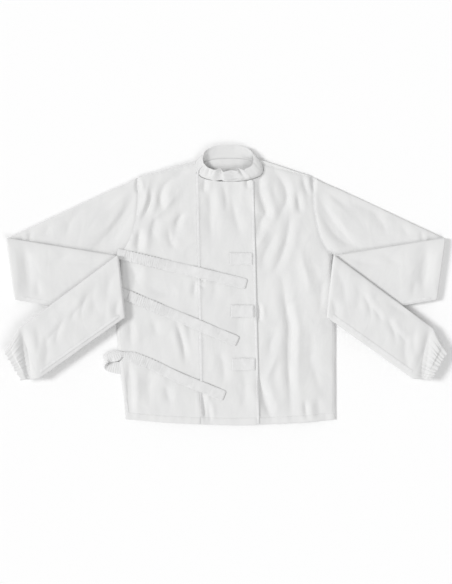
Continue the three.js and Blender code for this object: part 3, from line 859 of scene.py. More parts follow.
# Side, shoulder and armhole seams
for side, line in (("right", right_side), ("left", left_side[::-1])):
    out = -1 if side == "right" else 1
    inset = np.array([-out * 4.4 * MM, 0])
    path = even_line(line + inset, 4 * MM)[1:-1]

    def side_seam_height(x, y, s, v):
        return 2.7 * MM + 0.3 * MM * np.sin(s * 160 + 1) * (1 - np.abs(v)) + 0.3 * MM * drift(x, y, 0.02, 4)

    piece = ribbon(
        side + "_side_seam_roll", path, 4.2 * MM, 4.2 * MM, side_seam_height, 3.0 * MM, seam_cloth, 11
    )
    declare(piece, "root", "seam_tape", side + "_side_seam")
for side in ("right", "left"):
    out = -1 if side == "right" else 1
    neck = np.array([NECK_MIDDLE[0] + out * 84, 340.0]) * MM
    tip = np.array([out * SHOULDER_TIP[0], SHOULDER_TIP[1]]) * MM
    run = (tip - neck) / np.linalg.norm(tip - neck)
    inward = np.array([run[1], -run[0]]) * (1 if out > 0 else -1)
    start, end = neck + run * 22 * MM, tip - run * 6 * MM
    path = np.array([start, end]) + inward * 1.2 * MM
    sunk = on_top(front_height, -0.9 * MM)
    piece = ribbon(side + "_shoulder_felled_seam", path, 3 * MM, 3 * MM, sunk, 2.2 * MM, seam_cloth)
    declare(piece, "root", "seam_tape", side + "_shoulder_seam")
    path = curve_through(armholes[0 if out < 0 else 1])
    path = path[path[:, 1] < SHOULDER_TIP[1] * MM - 4 * MM]

    def armhole_height(x, y, s, v):
        return front_height(x, y) + 0.15 * MM + 0.15 * MM * np.sin(s * 300)

    piece = ribbon(
        side + "_armhole_felled_seam", path, 2.4 * MM, 2.4 * MM, armhole_height, 1.1 * MM, seam_cloth
    )
    declare(piece, "root", "seam_tape", side + "_armhole_seam")

# The flap: its edge binding, hem, the welt beside it and the three tabs
flap_low, flap_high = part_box("front_flap")
binding_low, binding_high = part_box("flap_edge_binding")
ys = np.linspace(binding_low.y + 1 * MM, binding_high.y - 1 * MM, 60)
edge_path = np.column_stack([flap_edge_x(ys) + 3.4 * MM, ys])
binding_middle = on_top(flap_height, -0.45 * MM)
binding = ribbon("flap_bound_edge", edge_path, 3.9 * MM, 3.9 * MM, binding_middle, 2.5 * MM, seam_cloth, 13)
xs = np.linspace(flap_edge_x(-0.37) + 1 * MM, seam_x(-0.37) - 3 * MM, 40)
hem_path = np.column_stack([xs, hem_at(xs) + 9.6 * MM])
flap_top = on_top(flap_height, 0.0)
flap_hem = ribbon("flap_turned_hem", hem_path, 10 * MM, 10 * MM, flap_top, 2.2 * MM, cotton, 11, 4 * MM)
welt_low, welt_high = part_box("flap_seam_welt")
hem_at_welt = float(hem_at(88 * MM))
ys = np.linspace(max(welt_low.y, hem_at_welt - 1 * MM), welt_high.y - 1 * MM, 70)
welt_path = np.column_stack([seam_x(ys) + 1.0 * MM, ys])


def welt_height(x, y, s, v):
    return front_height(x, y) + 0.9 * MM + 1.0 * MM * smooth((0.20 - y) / 0.1)


welt = ribbon("flap_seam_piping", welt_path, 2.8 * MM, 2.8 * MM, welt_height, 3.2 * MM, seam_cloth, 13)
declare(welt, "root", "seam_tape", "flap_seam_welt")

tab_rows = []
for name in ("upper", "middle", "lower"):
    low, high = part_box(name + "_tab")
    y = (low.y + high.y) / 2
    level = float(np.max(flap_height(np.linspace(low.x, high.x, 30), np.full(30, y))))

    def tab_height(x, y, s, v, level=level):
        below = flap_height(x, y)
        return np.maximum(below, 0.35 * below + 0.65 * level) + 1.3 * MM + 0.6 * MM * drift(x, y, 0.011, 9)

    def tab_top(x, y):
        return tab_height(x, y, 0, 0) + 0.95 * MM

    path = np.array([(low.x, y), (high.x, y)])
    half = (high.y - low.y) / 2
    tab = ribbon(name + "_stitched_tab", path, half, half, tab_height, 1.8 * MM, tab_cloth, 15, 2.2 * MM)
    inset = 3.4 * MM
    west, east, south, north = low.x + inset, high.x - inset, low.y + inset, high.y - inset
    corners = np.array([(west, south), (east, south), (east, north), (west, north), (west, south)])
    for a, b in zip(corners[:-1], corners[1:]):
        tab_rows.append(stitch_row([a, b], tab_top, 3.4 * MM, 2.3 * MM))
    declare(tab, "flap", "tab_cloth", name + "_tab")

# ---- Straps --------------------------------------------------------------------------------
# heading, seed and how far the strap bows up from the straight line
strap_facts = {
    "upper": (math.radians(-13.3), 3, 0.0),
    "middle": (math.radians(-22.8), 5, 0.0),
    "lower": (math.radians(-21.9), 7, 6.0 * MM),
}


def strap_level(line, width, heading):
    """Height of a strap along its run: it bridges the hollows under it."""
    across = np.array([-math.sin(heading), math.cos(heading)]) * width * 0.4
    tops = [outer_height(line[:, 0] + across[0] * k, line[:, 1] + across[1] * k) for k in (-1, 0, 1)]
    top = np.max(tops, axis=0)
    reach = 4
    padded = np.pad(top, reach, mode="edge")
    high = np.max([padded[k : k + len(top)] for k in range(2 * reach + 1)], axis=0)
    padded = np.pad(high, 3, mode="edge")
    return np.mean([padded[k : k + len(top)] for k in range(7)], axis=0)


def turned_band(name, knots, material):
    """A strap along a path that turns over; its width always lies level across the jacket's length."""
    at_knot = np.r_[0, np.cumsum(np.linalg.norm(np.diff(knots[:, :3], axis=0), axis=1))]
    at = np.linspace(0, at_knot[-1], 90)
    path = np.column_stack([np.interp(at, at_knot, knots[:, k]) for k in range(4)])
    for _ in range(14):
        path[1:-1] = (path[:-2] + 2 * path[1:-1] + path[2:]) / 4
    ahead = np.gradient(path[:, :3], axis=0)
    ahead /= np.linalg.norm(ahead, axis=1, keepdims=True)
    v = np.linspace(-1, 1, 25)
    v = np.sign(v) * (1 - (1 - np.abs(v)) ** 1.3)
    across = np.array([0.0, 1.0, 0.0]) - ahead * ahead[:, 1:2]
    across /= np.linalg.norm(across, axis=1, keepdims=True)
    face = np.cross(ahead, across)
    s = at[:, None]
    skew = s + 2.5 * MM * drift(s + 0 * v, v[None] * 14 * MM, 0.015, 3)
    gather = 0.5 * MM * np.sin(2 * np.pi * skew / (6.0 * MM)) * smooth(v[None] * -0.6 + 0.9)
    curl = 2.2 * MM * smooth((v[None] - 0.45) / 0.55) * smooth((s - at[-1] * 0.5) / (12 * MM))
    middle = path[:, None, :3] + across[:, None] * (v[None, :, None] * path[:, 3][:, None, None])
    middle = middle + face[:, None] * (gather - curl)[..., None]
    over = smooth((s - at[-1] * 0.52) / (10 * MM)) * smooth((at[-1] - 22 * MM - s) / (10 * MM))
    middle[..., 2] -= 0.85 * over * smooth(0.15 - v[None]) * np.clip(path[:, 2:3] - 4.6 * MM, 0, 1)
    middle[..., 2] = np.maximum(middle[..., 2], 1.4 * MM)
    cap = np.sqrt(np.clip(1 - np.abs(v) ** 8, 0, 1))[None, :, None] * 0.8 * MM
    outer = middle + face[:, None] * cap
    inner = middle - face[:, None] * cap
    rings = np.concatenate([outer, inner[:, -2:0:-1]], 1)
    uv = np.stack([s + 0 * v[None], v[None] * 15 * MM + 0 * s], -1)
    uv = np.concatenate([uv, uv[:, -2:0:-1]], 1)
    return close_rings(name, rings[:, ::-1], uv[:, ::-1], material, sharp=62)


def strap_bend(piece):
    """Bakes the strap piece's placement into its mesh; it is not bent over a hinge line."""
    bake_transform(piece)


for name, (heading, seed, bow) in strap_facts.items():
    start, joint_at, _ = strip_of(name + "_strap_elastic", heading)
    _, end, _ = strip_of(name + "_strap_tongue", heading)
    run = np.array([math.cos(heading), math.sin(heading)])
    across = np.array([-run[1], run[0]])
    half = 14.6 * MM
    line = even_line([start, end], 3 * MM)
    level = strap_level(line, 2 * half, heading)
    reach = float((joint_at - start) @ run)
    whole = float((end - start) @ run)

    def strap_height(x, y):
        s = (x - start[0]) * run[0] + (y - start[1]) * run[1]
        v = (x - start[0]) * across[0] + (y - start[1]) * across[1]
        z = np.interp(np.clip(s, 0, whole), np.linspace(0, whole, len(level)), level)
        calm = smooth((whole - s) / (60 * MM))
        lift = 2.3 * MM * np.clip(drift(s, v * 0.8, 0.024, seed) + 0.25, 0, 1) * calm
        curl = 1.7 * MM * drift(s, 0 * s, 0.04, seed + 3) * (v / (15 * MM)) * calm
        return z + 1.5 * MM + lift + curl * 0.8

    def bowed(line):
        s = (line - start) @ run
        return line + (bow * smooth(s / (45 * MM)) * smooth((190 * MM - s) / (110 * MM)))[:, None] * across

    def gathers(s, v):
        inside = smooth((s + 4 * MM) / (8 * MM)) * smooth((reach - s) / (30 * MM))
        skew = s + 2.2 * MM * drift(s, v * 15 * MM, 0.019, seed) + 1.2 * MM * v
        wave = np.sin(2 * np.pi * skew / (5.6 * MM) + 2.4 * drift(s, 0 * s, 0.027, seed + 4))
        patch = 0.55 + 0.45 * drift(s, v * 9 * MM, 0.02, seed + 6)
        cross = drift(skew, v * 5 * MM, 0.0052, seed + 11)
        return inside * (0.62 * MM * wave * patch + 0.75 * MM * cross) * (1 - 0.3 * v**2)

    body = name + "_strap"
    elastic_line = even_line([start - run * 2 * MM, joint_at + run * 5 * MM], 1.3 * MM)
    along = np.r_[0, np.cumsum(np.linalg.norm(np.diff(elastic_line, axis=0), axis=1))] - 2 * MM
    fading = smooth(along / 0.01) * smooth((reach - along) / 0.012)
    pucker = 1 + 0.07 * np.sin(2 * np.pi * along / (9 * MM) + seed) * fading
    twist = smooth(1 - along / (42 * MM)) * (1.0 if bow else 0.0)
    gathered = ribbon(
        name + "_strap_gathered_elastic",
        bowed(elastic_line),
        half * pucker * (1 - 0.42 * twist),
        half * (2 - pucker) * (1 - 0.66 * twist),
        lambda x, y, s, v: strap_height(x, y) + gathers(s - 2 * MM, v),
        2.0 * MM,
        elastic,
        17,
        own_path=True,
    )
    tongue_line = even_line([joint_at + run * 0.5 * MM, end], 2.5 * MM)
    from_tip = whole - (tongue_line - start) @ run
    tip = 1 - 0.22 * (1 - np.sqrt(np.clip(1 - (1 - np.clip(from_tip / (7 * MM), 0, 1)) ** 2, 0, 1)))

    def tongue_height(x, y, s, v):
        hemmed = 0.25 * MM * bell(np.abs(v) - 0.8, 0.07)
        return strap_height(x, y) + 0.35 * MM * smooth(1 - s / (16 * MM)) - hemmed

    tongue = ribbon(
        name + "_strap_webbing_tongue",
        bowed(tongue_line),
        half * tip,
        half * tip,
        tongue_height,
        1.8 * MM,
        strap_cloth,
        19,
        own_path=True,
    )
    pad_start, pad_end, pad_width = strip_of(name + "_strap_hook_pad", heading)
    pad = ribbon(
        name + "_strap_hook_tape",
        even_line([pad_start, pad_end], 2.5 * MM),
        pad_width / 2,
        pad_width / 2,
        lambda x, y, s, v: np.maximum(strap_height(x, y) - 1.45 * MM, 3 * MM),
        1.0 * MM,
        hook_tape,
        11,
        own_path=True,
    )
    # Sewing: a row along each edge, the boxed end and the doubled join with the elastic
    rows = []

    def top(x, y):
        return strap_height(x, y) + 0.85 * MM

    to_edge = across * STRAP_SEWING
    a, b = joint_at + run * 5 * MM, end - run * 3 * MM
    for k in (-1, 1):
        edge_row = bowed(even_line([a, b], 6 * MM)) + to_edge * k
        rows.append(stitch_row(edge_row, top))
    for back in (3 * MM, 30 * MM):
        c = end - run * back
        rows.append(stitch_row([c - to_edge, c + to_edge], top, 3.6 * MM, 2.4 * MM))
    for forward in (4 * MM, 12 * MM):
        c = bowed((joint_at + run * forward)[None])[0]
        rows.append(stitch_row([c - to_edge, c + to_edge], top, 3.6 * MM, 2.4 * MM))
    sewing = sew_stitches(name + "_strap_stitching", rows, thread_cotton)
    stand_for(tongue, "cotton_canvas", name + "_strap_tongue")
    strap_bend(tongue)
    declare(pad, body + "_end", "hook_tape", name + "_strap_hook_pad")
    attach(sewing, body + "_end")
    stand_for(gathered, "elastic", name + "_strap_elastic")
    strap_bend(gathered)
    # Root: sewn into the side seam, or on the lower strap turned over outside it
    if name != "lower":
        root_start, root_end, _ = strip_of(name + "_strap_root", heading)
        root = ribbon(
            name + "_strap_sewn_root",
            even_line([root_start, root_end + run * 3 * MM], 2.5 * MM),
            half * 0.97,
            half * 0.97,
            lambda x, y, s, v: np.minimum(strap_height(x, y) - 0.5 * MM, 10.8 * MM),
            1.4 * MM,
            strap_cloth,
            15,
            own_path=True,
        )
    else:
        low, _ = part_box("lower_strap_root")
        seam_at = start[0] - 6 * MM
        # x, y, z and half width, from the side seam out, over the turn and back onto the body
        path = np.array(
            [
                (seam_at + 9 * MM, start[1] - 38 * MM, 4.6 * MM, 15.5 * MM),
                (seam_at - 2 * MM, start[1] - 38 * MM, 3.2 * MM, 16.5 * MM),
                (seam_at - 18 * MM, start[1] - 37 * MM, 2.4 * MM, 15.0 * MM),
                (seam_at - 32 * MM, start[1] - 34 * MM, 2.0 * MM, 11.5 * MM),
                (low.x + 4.4 * MM, start[1] - 30 * MM, 3.4 * MM, 7.6 * MM),
                (low.x + 2.2 * MM, start[1] - 25 * MM, 6.6 * MM, 6.6 * MM),
                (low.x + 4.0 * MM, start[1] - 20 * MM, 9.6 * MM, 8.4 * MM),
                (seam_at - 30 * MM, start[1] - 13.5 * MM, 10.6 * MM, 11.8 * MM),
                (seam_at - 18 * MM, start[1] - 8.0 * MM, 10.9 * MM, 14.2 * MM),
                (seam_at - 4 * MM, start[1] - 4.6 * MM, 11.3 * MM, 15.0 * MM),
                (seam_at + 4 * MM, start[1] - 1.0 * MM, 11.8 * MM, 11.6 * MM),
                (start[0] + 5 * MM, start[1] + 0.5 * MM, 11.6 * MM, 7.2 * MM),
            ]
        )
        root = turned_band("lower_strap_turned_root", path, strap_cloth)
    declare(root, "root", "cotton_canvas", name + "_strap_root")

# ---- Collar --------------------------------------------------------------------------------
def ring_point(middle, half, degrees, margin=0.0):
    angle = np.radians(degrees)
    power = 2 / ROUNDNESS
    c, s = np.cos(angle), np.sin(angle)
    return np.stack(
        [
            middle[0] + np.sign(c) * np.abs(c) ** power * (half[0] + margin),
            middle[1] + np.sign(s) * np.abs(s) ** power * (half[1] + margin),
        ],
        -1,
    )


# Buckles of the front band, as distance round the neck and height up the band
COLLAR_FOLDS = [
    ([(326, 38), (334, 18), (343, -4)], 7.5, 9.0),
    ([(345, 28), (356, 17), (372, 7)], 4.5, 2.6),
    ([(352, 33), (366, 23), (381, 14)], 4.5, 2.6),
    ([(374, 38), (383, 22), (386, 8)], 6.5, 6.5),
    ([(318, 32), (314, 14)], 5, 1.8),
    ([(298, 30), (306, 8)], 5, 1.8),
    ([(276, 28), (284, 6)], 4.5, 2.0),
    ([(352, 8), (366, 4), (384, 6)], 4, 1.5),
]


def collar_band(name, first, last, outward, low, high, thickness, material, wave, seed, columns=120):
    """A stretch of the standing band: it leans, bulges and buckles where the jacket is laid flat."""
    rows = 15
    degrees = np.linspace(first, last, columns)
    share = np.linspace(low, high, rows)
    d, v = np.meshgrid(degrees, share, indexing="ij")
    foot = ring_point(NECK_MIDDLE, NECK_HALF, d, outward) * MM
    top = ring_point(COLLAR_TOP_MIDDLE, COLLAR_TOP_HALF, d, outward) * MM
    rolled = smooth(np.cos(np.radians(d)) * 1.6) * (outward == 0)
    front = smooth(0.25 - np.sin(np.radians(d)) * 1.2)
    lean = v ** (1 + 0.9 * rolled) * (1 - 0.24 * front)
    middle = foot * (1 - lean[..., None]) + top * lean[..., None]
    away = ring_point((0, 0), (1, 0.6), d)
    away /= np.linalg.norm(away, axis=-1, keepdims=True)
    turned = np.sin(np.radians(d))
    if outward == 0:
        skirt = 5.2 * MM * np.clip(1 - v / 0.16, 0, 1) ** 1.5 * smooth((0.6 - turned) / 0.4)
        skirt -= 4.6 * MM * np.clip(1 - v / 0.09, 0, 1) * smooth((turned - 0.55) / 0.25)
    else:
        skirt = 0 * v
    foot_z = (FLAP_LEVEL / 2 + 2 - (FLAP_LEVEL / 2 + 1) * np.sin(np.radians(d))) * MM
    rise = v**0.92 * (1 - rolled) + (1 - (1 - v) ** 2.2) * rolled
    z = foot_z + COLLAR_RISE * rise * (0.74 + 0.16 * front - 0.12 * smooth(-np.cos(np.radians(d)) * 1.6))
    run = np.radians(d) * 75 * MM
    buckle = wave * MM * drift(run, v * 30 * MM, 0.021, seed) * smooth(v * 1.4)
    buckle += 0.55 * wave * MM * drift(run * 1.0, v * 22 * MM, 0.009, seed + 5) * smooth(v * 1.3)
    if name == "collar_front_band":
        buckle += fold_heights(run, v * 32 * MM, COLLAR_FOLDS)
    if name == "collar_puckered_closure":
        between = np.sin(np.pi * np.clip((v - low) / (high - low), 0, 1))
        buckle += 1.3 * MM * np.sin(run / (0.9 * MM) + 5 * v) * between
    bulge = (2.6 + 1.6 * front) * MM * np.sin(np.pi * np.clip(v, 0, 1) ** 0.8)
    middle = middle + away * (buckle + bulge + skirt)[..., None]
    wander = 0.9 * drift(run, v * 0, 0.03, seed + 2) * v + 0.5 * drift(run, v * 0, 0.011, seed + 7) * v
    z = z + wander * MM * wave * 0.6
    z = z + np.where(turned > 0.5, 0.9 * MM * np.clip(1 - v / 0.09, 0, 1), 0)
    z = z + np.minimum(buckle, 0) * 0.45 * v
    near_top = np.clip((high - v) * 32 * MM / (1.3 * MM), 0, 1)
    near_foot = np.clip((v - low) * 32 * MM / (0.8 * MM), 0, 1)
    cap = np.sqrt(np.clip(1 - (1 - near_top) ** 2, 0, 1))
    cap = cap * np.sqrt(np.clip(1 - (1 - near_foot) ** 2, 0.04, 1))
    half = thickness / 2 * cap[..., None]
    lift = np.concatenate([away * 0.92, np.full(away.shape[:2] + (1,), 0.38)], -1)
    middle = np.concatenate([middle, z[..., None]], -1)
    outer = middle + lift * half
    inner = middle - lift * half
    rings = np.concatenate([outer, inner[:, -2:0:-1]], 1)
    rings[:, 0] = middle[:, 0]
    rings[:, rows - 1] = middle[:, rows - 1]
    uv = np.stack([run, v * 32 * MM], -1)
    uv = np.concatenate([uv, uv[:, -2:0:-1]], 1)
    return close_rings(name, rings, uv, material, sharp=62)


collar_back = collar_band("collar_back_band", -58.5, 174, 0, 0, 1, 2.6 * MM, cotton, 1.5, 31)
collar_under = collar_band("collar_underlap_end", 174, 214, -5.0, 0.04, 0.7, 2.2 * MM, cotton, 0.7, 37, 50)
collar_front = collar_band("collar_front_band", 175, 302.5, 0, 0, 1, 3.0 * MM, cotton, 3.4, 41)
closure_tab = collar_band(
    "collar_puckered_closure", 172, 206, 5.2, 0.06, 0.95, 2.8 * MM, tab_cloth, 2.6, 47, 60
)
declare(collar_back, "root", "cotton_canvas", "collar_back")
declare(collar_under, "root", "cotton_canvas", "collar_underlap")
declare(closure_tab, "flap", "tab_cloth", "collar_closure_tab")
stand_for(collar_front, "cotton_canvas", "collar_front")
seam_bend(collar_front)

# ---- Sleeves -------------------------------------------------------------------------------
UPPER_SLEEVE_FOLDS = [
    ([(238, 290), (262, 215), (292, 165), (330, 124), (392, 88)], 20, 6.0),
    ([(262, 276), (300, 240), (352, 206)], 16, 1.6),
    ([(300, 250), (380, 214), (470, 180)], 20, 1.5),
    ([(392, 212), (430, 170), (440, 128)], 14, 1.4),
    ([(538, 156), (541, 112)], 7, 1.5),
    ([(560, 140), (572, 90)], 11, 1.4),
    ([(480, 170), (506, 130)], 12, 1.0),
]
MIDDLE_SLEEVE_FOLDS = [
    ([(556, 130), (548, 60), (536, -50)], 24, 4.2),
    ([(590, 110), (580, 20), (572, -36)], 9, -0.5),
    ([(420, 98), (460, 66), (500, 58)], 16, 1.0),
    ([(330, 76), (380, 62), (440, 60)], 10, 1.2),
    ([(520, 20), (512, -40)], 12, 1.4),
]
FOREARM_FOLDS = [
    ([(372, -16), (392, -56), (398, -98)], 9, 1.7),
    ([(392, -52), (414, -76), (430, -106)], 8, 1.2),
    ([(440, -84), (460, -128), (468, -168)], 9, 1.7),
    ([(456, -116), (480, -140), (498, -168)], 8, 1.1),
    ([(300, 52), (322, -4), (330, -66)], 18, 1.7),
    ([(350, 20), (366, -30), (352, -90)], 18, 1.6),
    ([(562, -100), (551, -170), (541, -236), (534, -300)], 15, 6.0),
    ([(524, -100), (514, -150), (520, -206)], 13, 1.4),
    ([(500, -120), (490, -180), (500, -236)], 12, 1.5),
    ([(290, -30), (300, -70), (292, -104)], 11, 1.6),
    ([(430, -30), (470, -64), (520, -92)], 18, 1.8),
]
AROUND = 128  # corners in each ring of a sleeve
CUFF_SEEDS = {-1: 51, 1: 67}


def between(first, last, count, skip_first=True):
    """Pairs of edge points in even steps from one fold line or cut line to the next."""
    for k in np.linspace(0, 1, count)[1 if skip_first else 0 :]:
        yield tuple(np.array(a, float) * (1 - k) + np.array(b, float) * k for a, b in zip(first, last))


def around_tube(roundness):
    """Across the tube from -1 to 1 and back for each corner of a ring, and the layer it is on, -1 or 1."""
    loop = np.linspace(0, 2 * np.pi, AROUND, endpoint=False)
    raw = np.where(loop < np.pi, -1 + 2 * loop / np.pi, 3 - 2 * loop / np.pi)
    face = np.where(loop < np.pi, -1.0, 1.0)
    v = np.sign(raw) * (1 - (1 - np.abs(raw)) ** roundness)
    return loop, v, face, np.sqrt(np.clip(1 - np.abs(v) ** 7, 0, 1))


def pleats_at(v, seed):
    return np.sin(v * 31 + 1.3 * np.sin(v * 7 + seed))


def sleeve_stations():
    """Rows of top edge and lower edge in millimetres, turns of the two folds, gather and part."""
    rows = []
    turns = np.linspace(0, math.pi, 19)[1:]
    for top, low in between((SHOULDER_TIP, ARMPIT), OUTER_FOLD, 84, False):
        rows.append((top, low, 0.0, 0.0, 0.0, "upper"))
    for turn in turns:
        rows.append((np.array(OUTER_FOLD[0]), np.array(OUTER_FOLD[1]), turn, 0.0, 0.0, "outer_fold"))
    for top, low in between(OUTER_FOLD, INNER_FOLD, 76):
        rows.append((top, low, math.pi, 0.0, 0.0, "middle"))
    for turn in turns:
        rows.append((np.array(INNER_FOLD[0]), np.array(INNER_FOLD[1]), math.pi, turn, 0.0, "inner_fold"))
    for top, low in between(INNER_FOLD, GATHER_START, 84):
        rows.append((top, low, math.pi, math.pi, 0.0, "forearm"))
    gathers = np.linspace(0, 1, 30)[1:]
    for (top, low), gather in zip(between(GATHER_START, CUFF_START, 30), gathers):
        rows.append((top, low, math.pi, math.pi, gather, "gather"))
    return rows


def build_sleeve(out):
    """Both halves of one sleeve as rows of rings. out is -1 for the right sleeve."""
    seed = CUFF_SEEDS[out]
    loop, v, face, depth = around_tube(1.15)
    q = face * depth
    rings, flats, parts = [], [], []
    travelled = 0.0
    before = None
    for top, low, outer, inner, gather, part in sleeve_stations():
        t = (v + 1) / 2
        base = low[None] * (1 - t[:, None]) + top[None] * t[:, None]
        width = np.linalg.norm(top - low)
        centre = (top + low) / 2
        if before is not None:
            travelled += max(np.linalg.norm(centre - before), 1.2 if part.endswith("fold") else 0)
        before = centre
        fold_line = (top - low) / width
        outward = np.array([fold_line[1], -fold_line[0]])
        middle_gap = (NEAR_LAYER + FAR_LAYER) / 2 / MM
        half_gap = (FAR_LAYER - NEAR_LAYER) / 2 / MM
        if part in ("upper", "outer_fold", "middle"):
            r = middle_gap - half_gap * q
            z = OUTER_FOLD_Z / MM - r * math.cos(outer)
            shift = FOLD_BULGE * r * math.sin(outer)
        else:
            r = middle_gap + half_gap * q
            z = INNER_FOLD_Z / MM - r * math.cos(inner)
            shift = -FOLD_BULGE * r * math.sin(inner)
            if part != "inner_fold":
                shift = 0 * r
        xy = base + outward[None] * np.reshape(shift, (-1, 1))
        x, y = xy[:, 0] * MM, xy[:, 1] * MM
        z = z * MM
        if part == "upper":
            hole = armholes[0 if out < 0 else 1]
            at_hole = np.interp(y, hole[:, 1], np.abs(hole[:, 0]))
            seam_ends = np.array([ARMPIT, SHOULDER_TIP]) * MM
            straight = np.interp(y, seam_ends[:, 1], seam_ends[:, 0])
            x = x - np.clip(straight - at_hole, 0, 1) * (1 - smooth(travelled / 75))
            upward = np.clip(q, 0, 1) ** 0.5
            relief = fold_heights(x, y, UPPER_SLEEVE_FOLDS)
            relief = relief + 0.9 * MM * drift(x * 0.6, y, 0.05, seed) - 0.6 * MM
            z = z + upward * np.clip(relief, -6.0 * MM, 0.9 * MM) * smooth(travelled / 14)
            z = z + (1 - upward) * 0.5 * MM * np.clip(drift(x, y, 0.04, seed + 1), 0, 1)
            if travelled < 40:
                own = smooth(travelled / 40)
                body = np.minimum(front_height(out * x, y), 9.3 * MM)
                z = np.where(q > 0.2, z * own + body * (1 - own), z)
        elif part == "middle":
            upward = np.clip(-q, 0, 1) ** 0.5
            relief = fold_heights(x, y, MIDDLE_SLEEVE_FOLDS)
            relief = relief + 0.8 * MM * drift(x * 0.6, y, 0.05, seed + 2) - 0.4 * MM
            z = z + upward * np.clip(relief, -7.0 * MM, 0.7 * MM)
        elif part in ("forearm", "gather"):
            upward = np.clip(q, 0, 1) ** 0.5
            relief = fold_heights(x, y, FOREARM_FOLDS) + 1.2 * MM * drift(x * 0.7, y, 0.065, seed + 3)
            relief = relief + 0.5 * MM * drift(x * 0.8, y * 0.5, 0.017, seed + 4)
            z = z + upward * np.clip(relief, -7.5 * MM, 9 * MM)
        if gather > 0:
            pleats = pleats_at(v, seed) + 0.6 * np.sin(v * 53 + seed)
            swell = math.sin(math.pi * min(gather, 1) ** 0.8)
            z = z + face * np.sqrt(np.abs(q)) * (1.5 * pleats * gather + 3.0 * swell * (1 - v**2)) * MM * 0.8
        # Each stretch keeps clear of the level at which its neighbour starts to turn
        if part == "upper":
            z = np.minimum(z, OUTER_FOLD_Z - 0.7 * MM)
        elif part == "middle":
            z = np.clip(z, OUTER_FOLD_Z + 0.8 * MM, INNER_FOLD_Z - 0.7 * MM)
        elif part in ("forearm", "gather"):
            z = np.maximum(z, INNER_FOLD_Z + 0.9 * MM)
        rings.append(np.column_stack([out * x, y, z]))
        girth = width * 2 * MM
        flats.append(np.column_stack([np.full(AROUND, travelled * MM), loop / (2 * np.pi) * girth]))
        parts.append(part)
    return np.array(rings), np.array(flats), parts


def sleeve_piece(name, rings, flats, out, material):
    if out < 0:
        rings, flats = rings[:, ::-1], flats[:, ::-1]
    return close_rings(name, rings[:, ::-1], flats[:, ::-1], material, True, 0.8 * MM, 70)


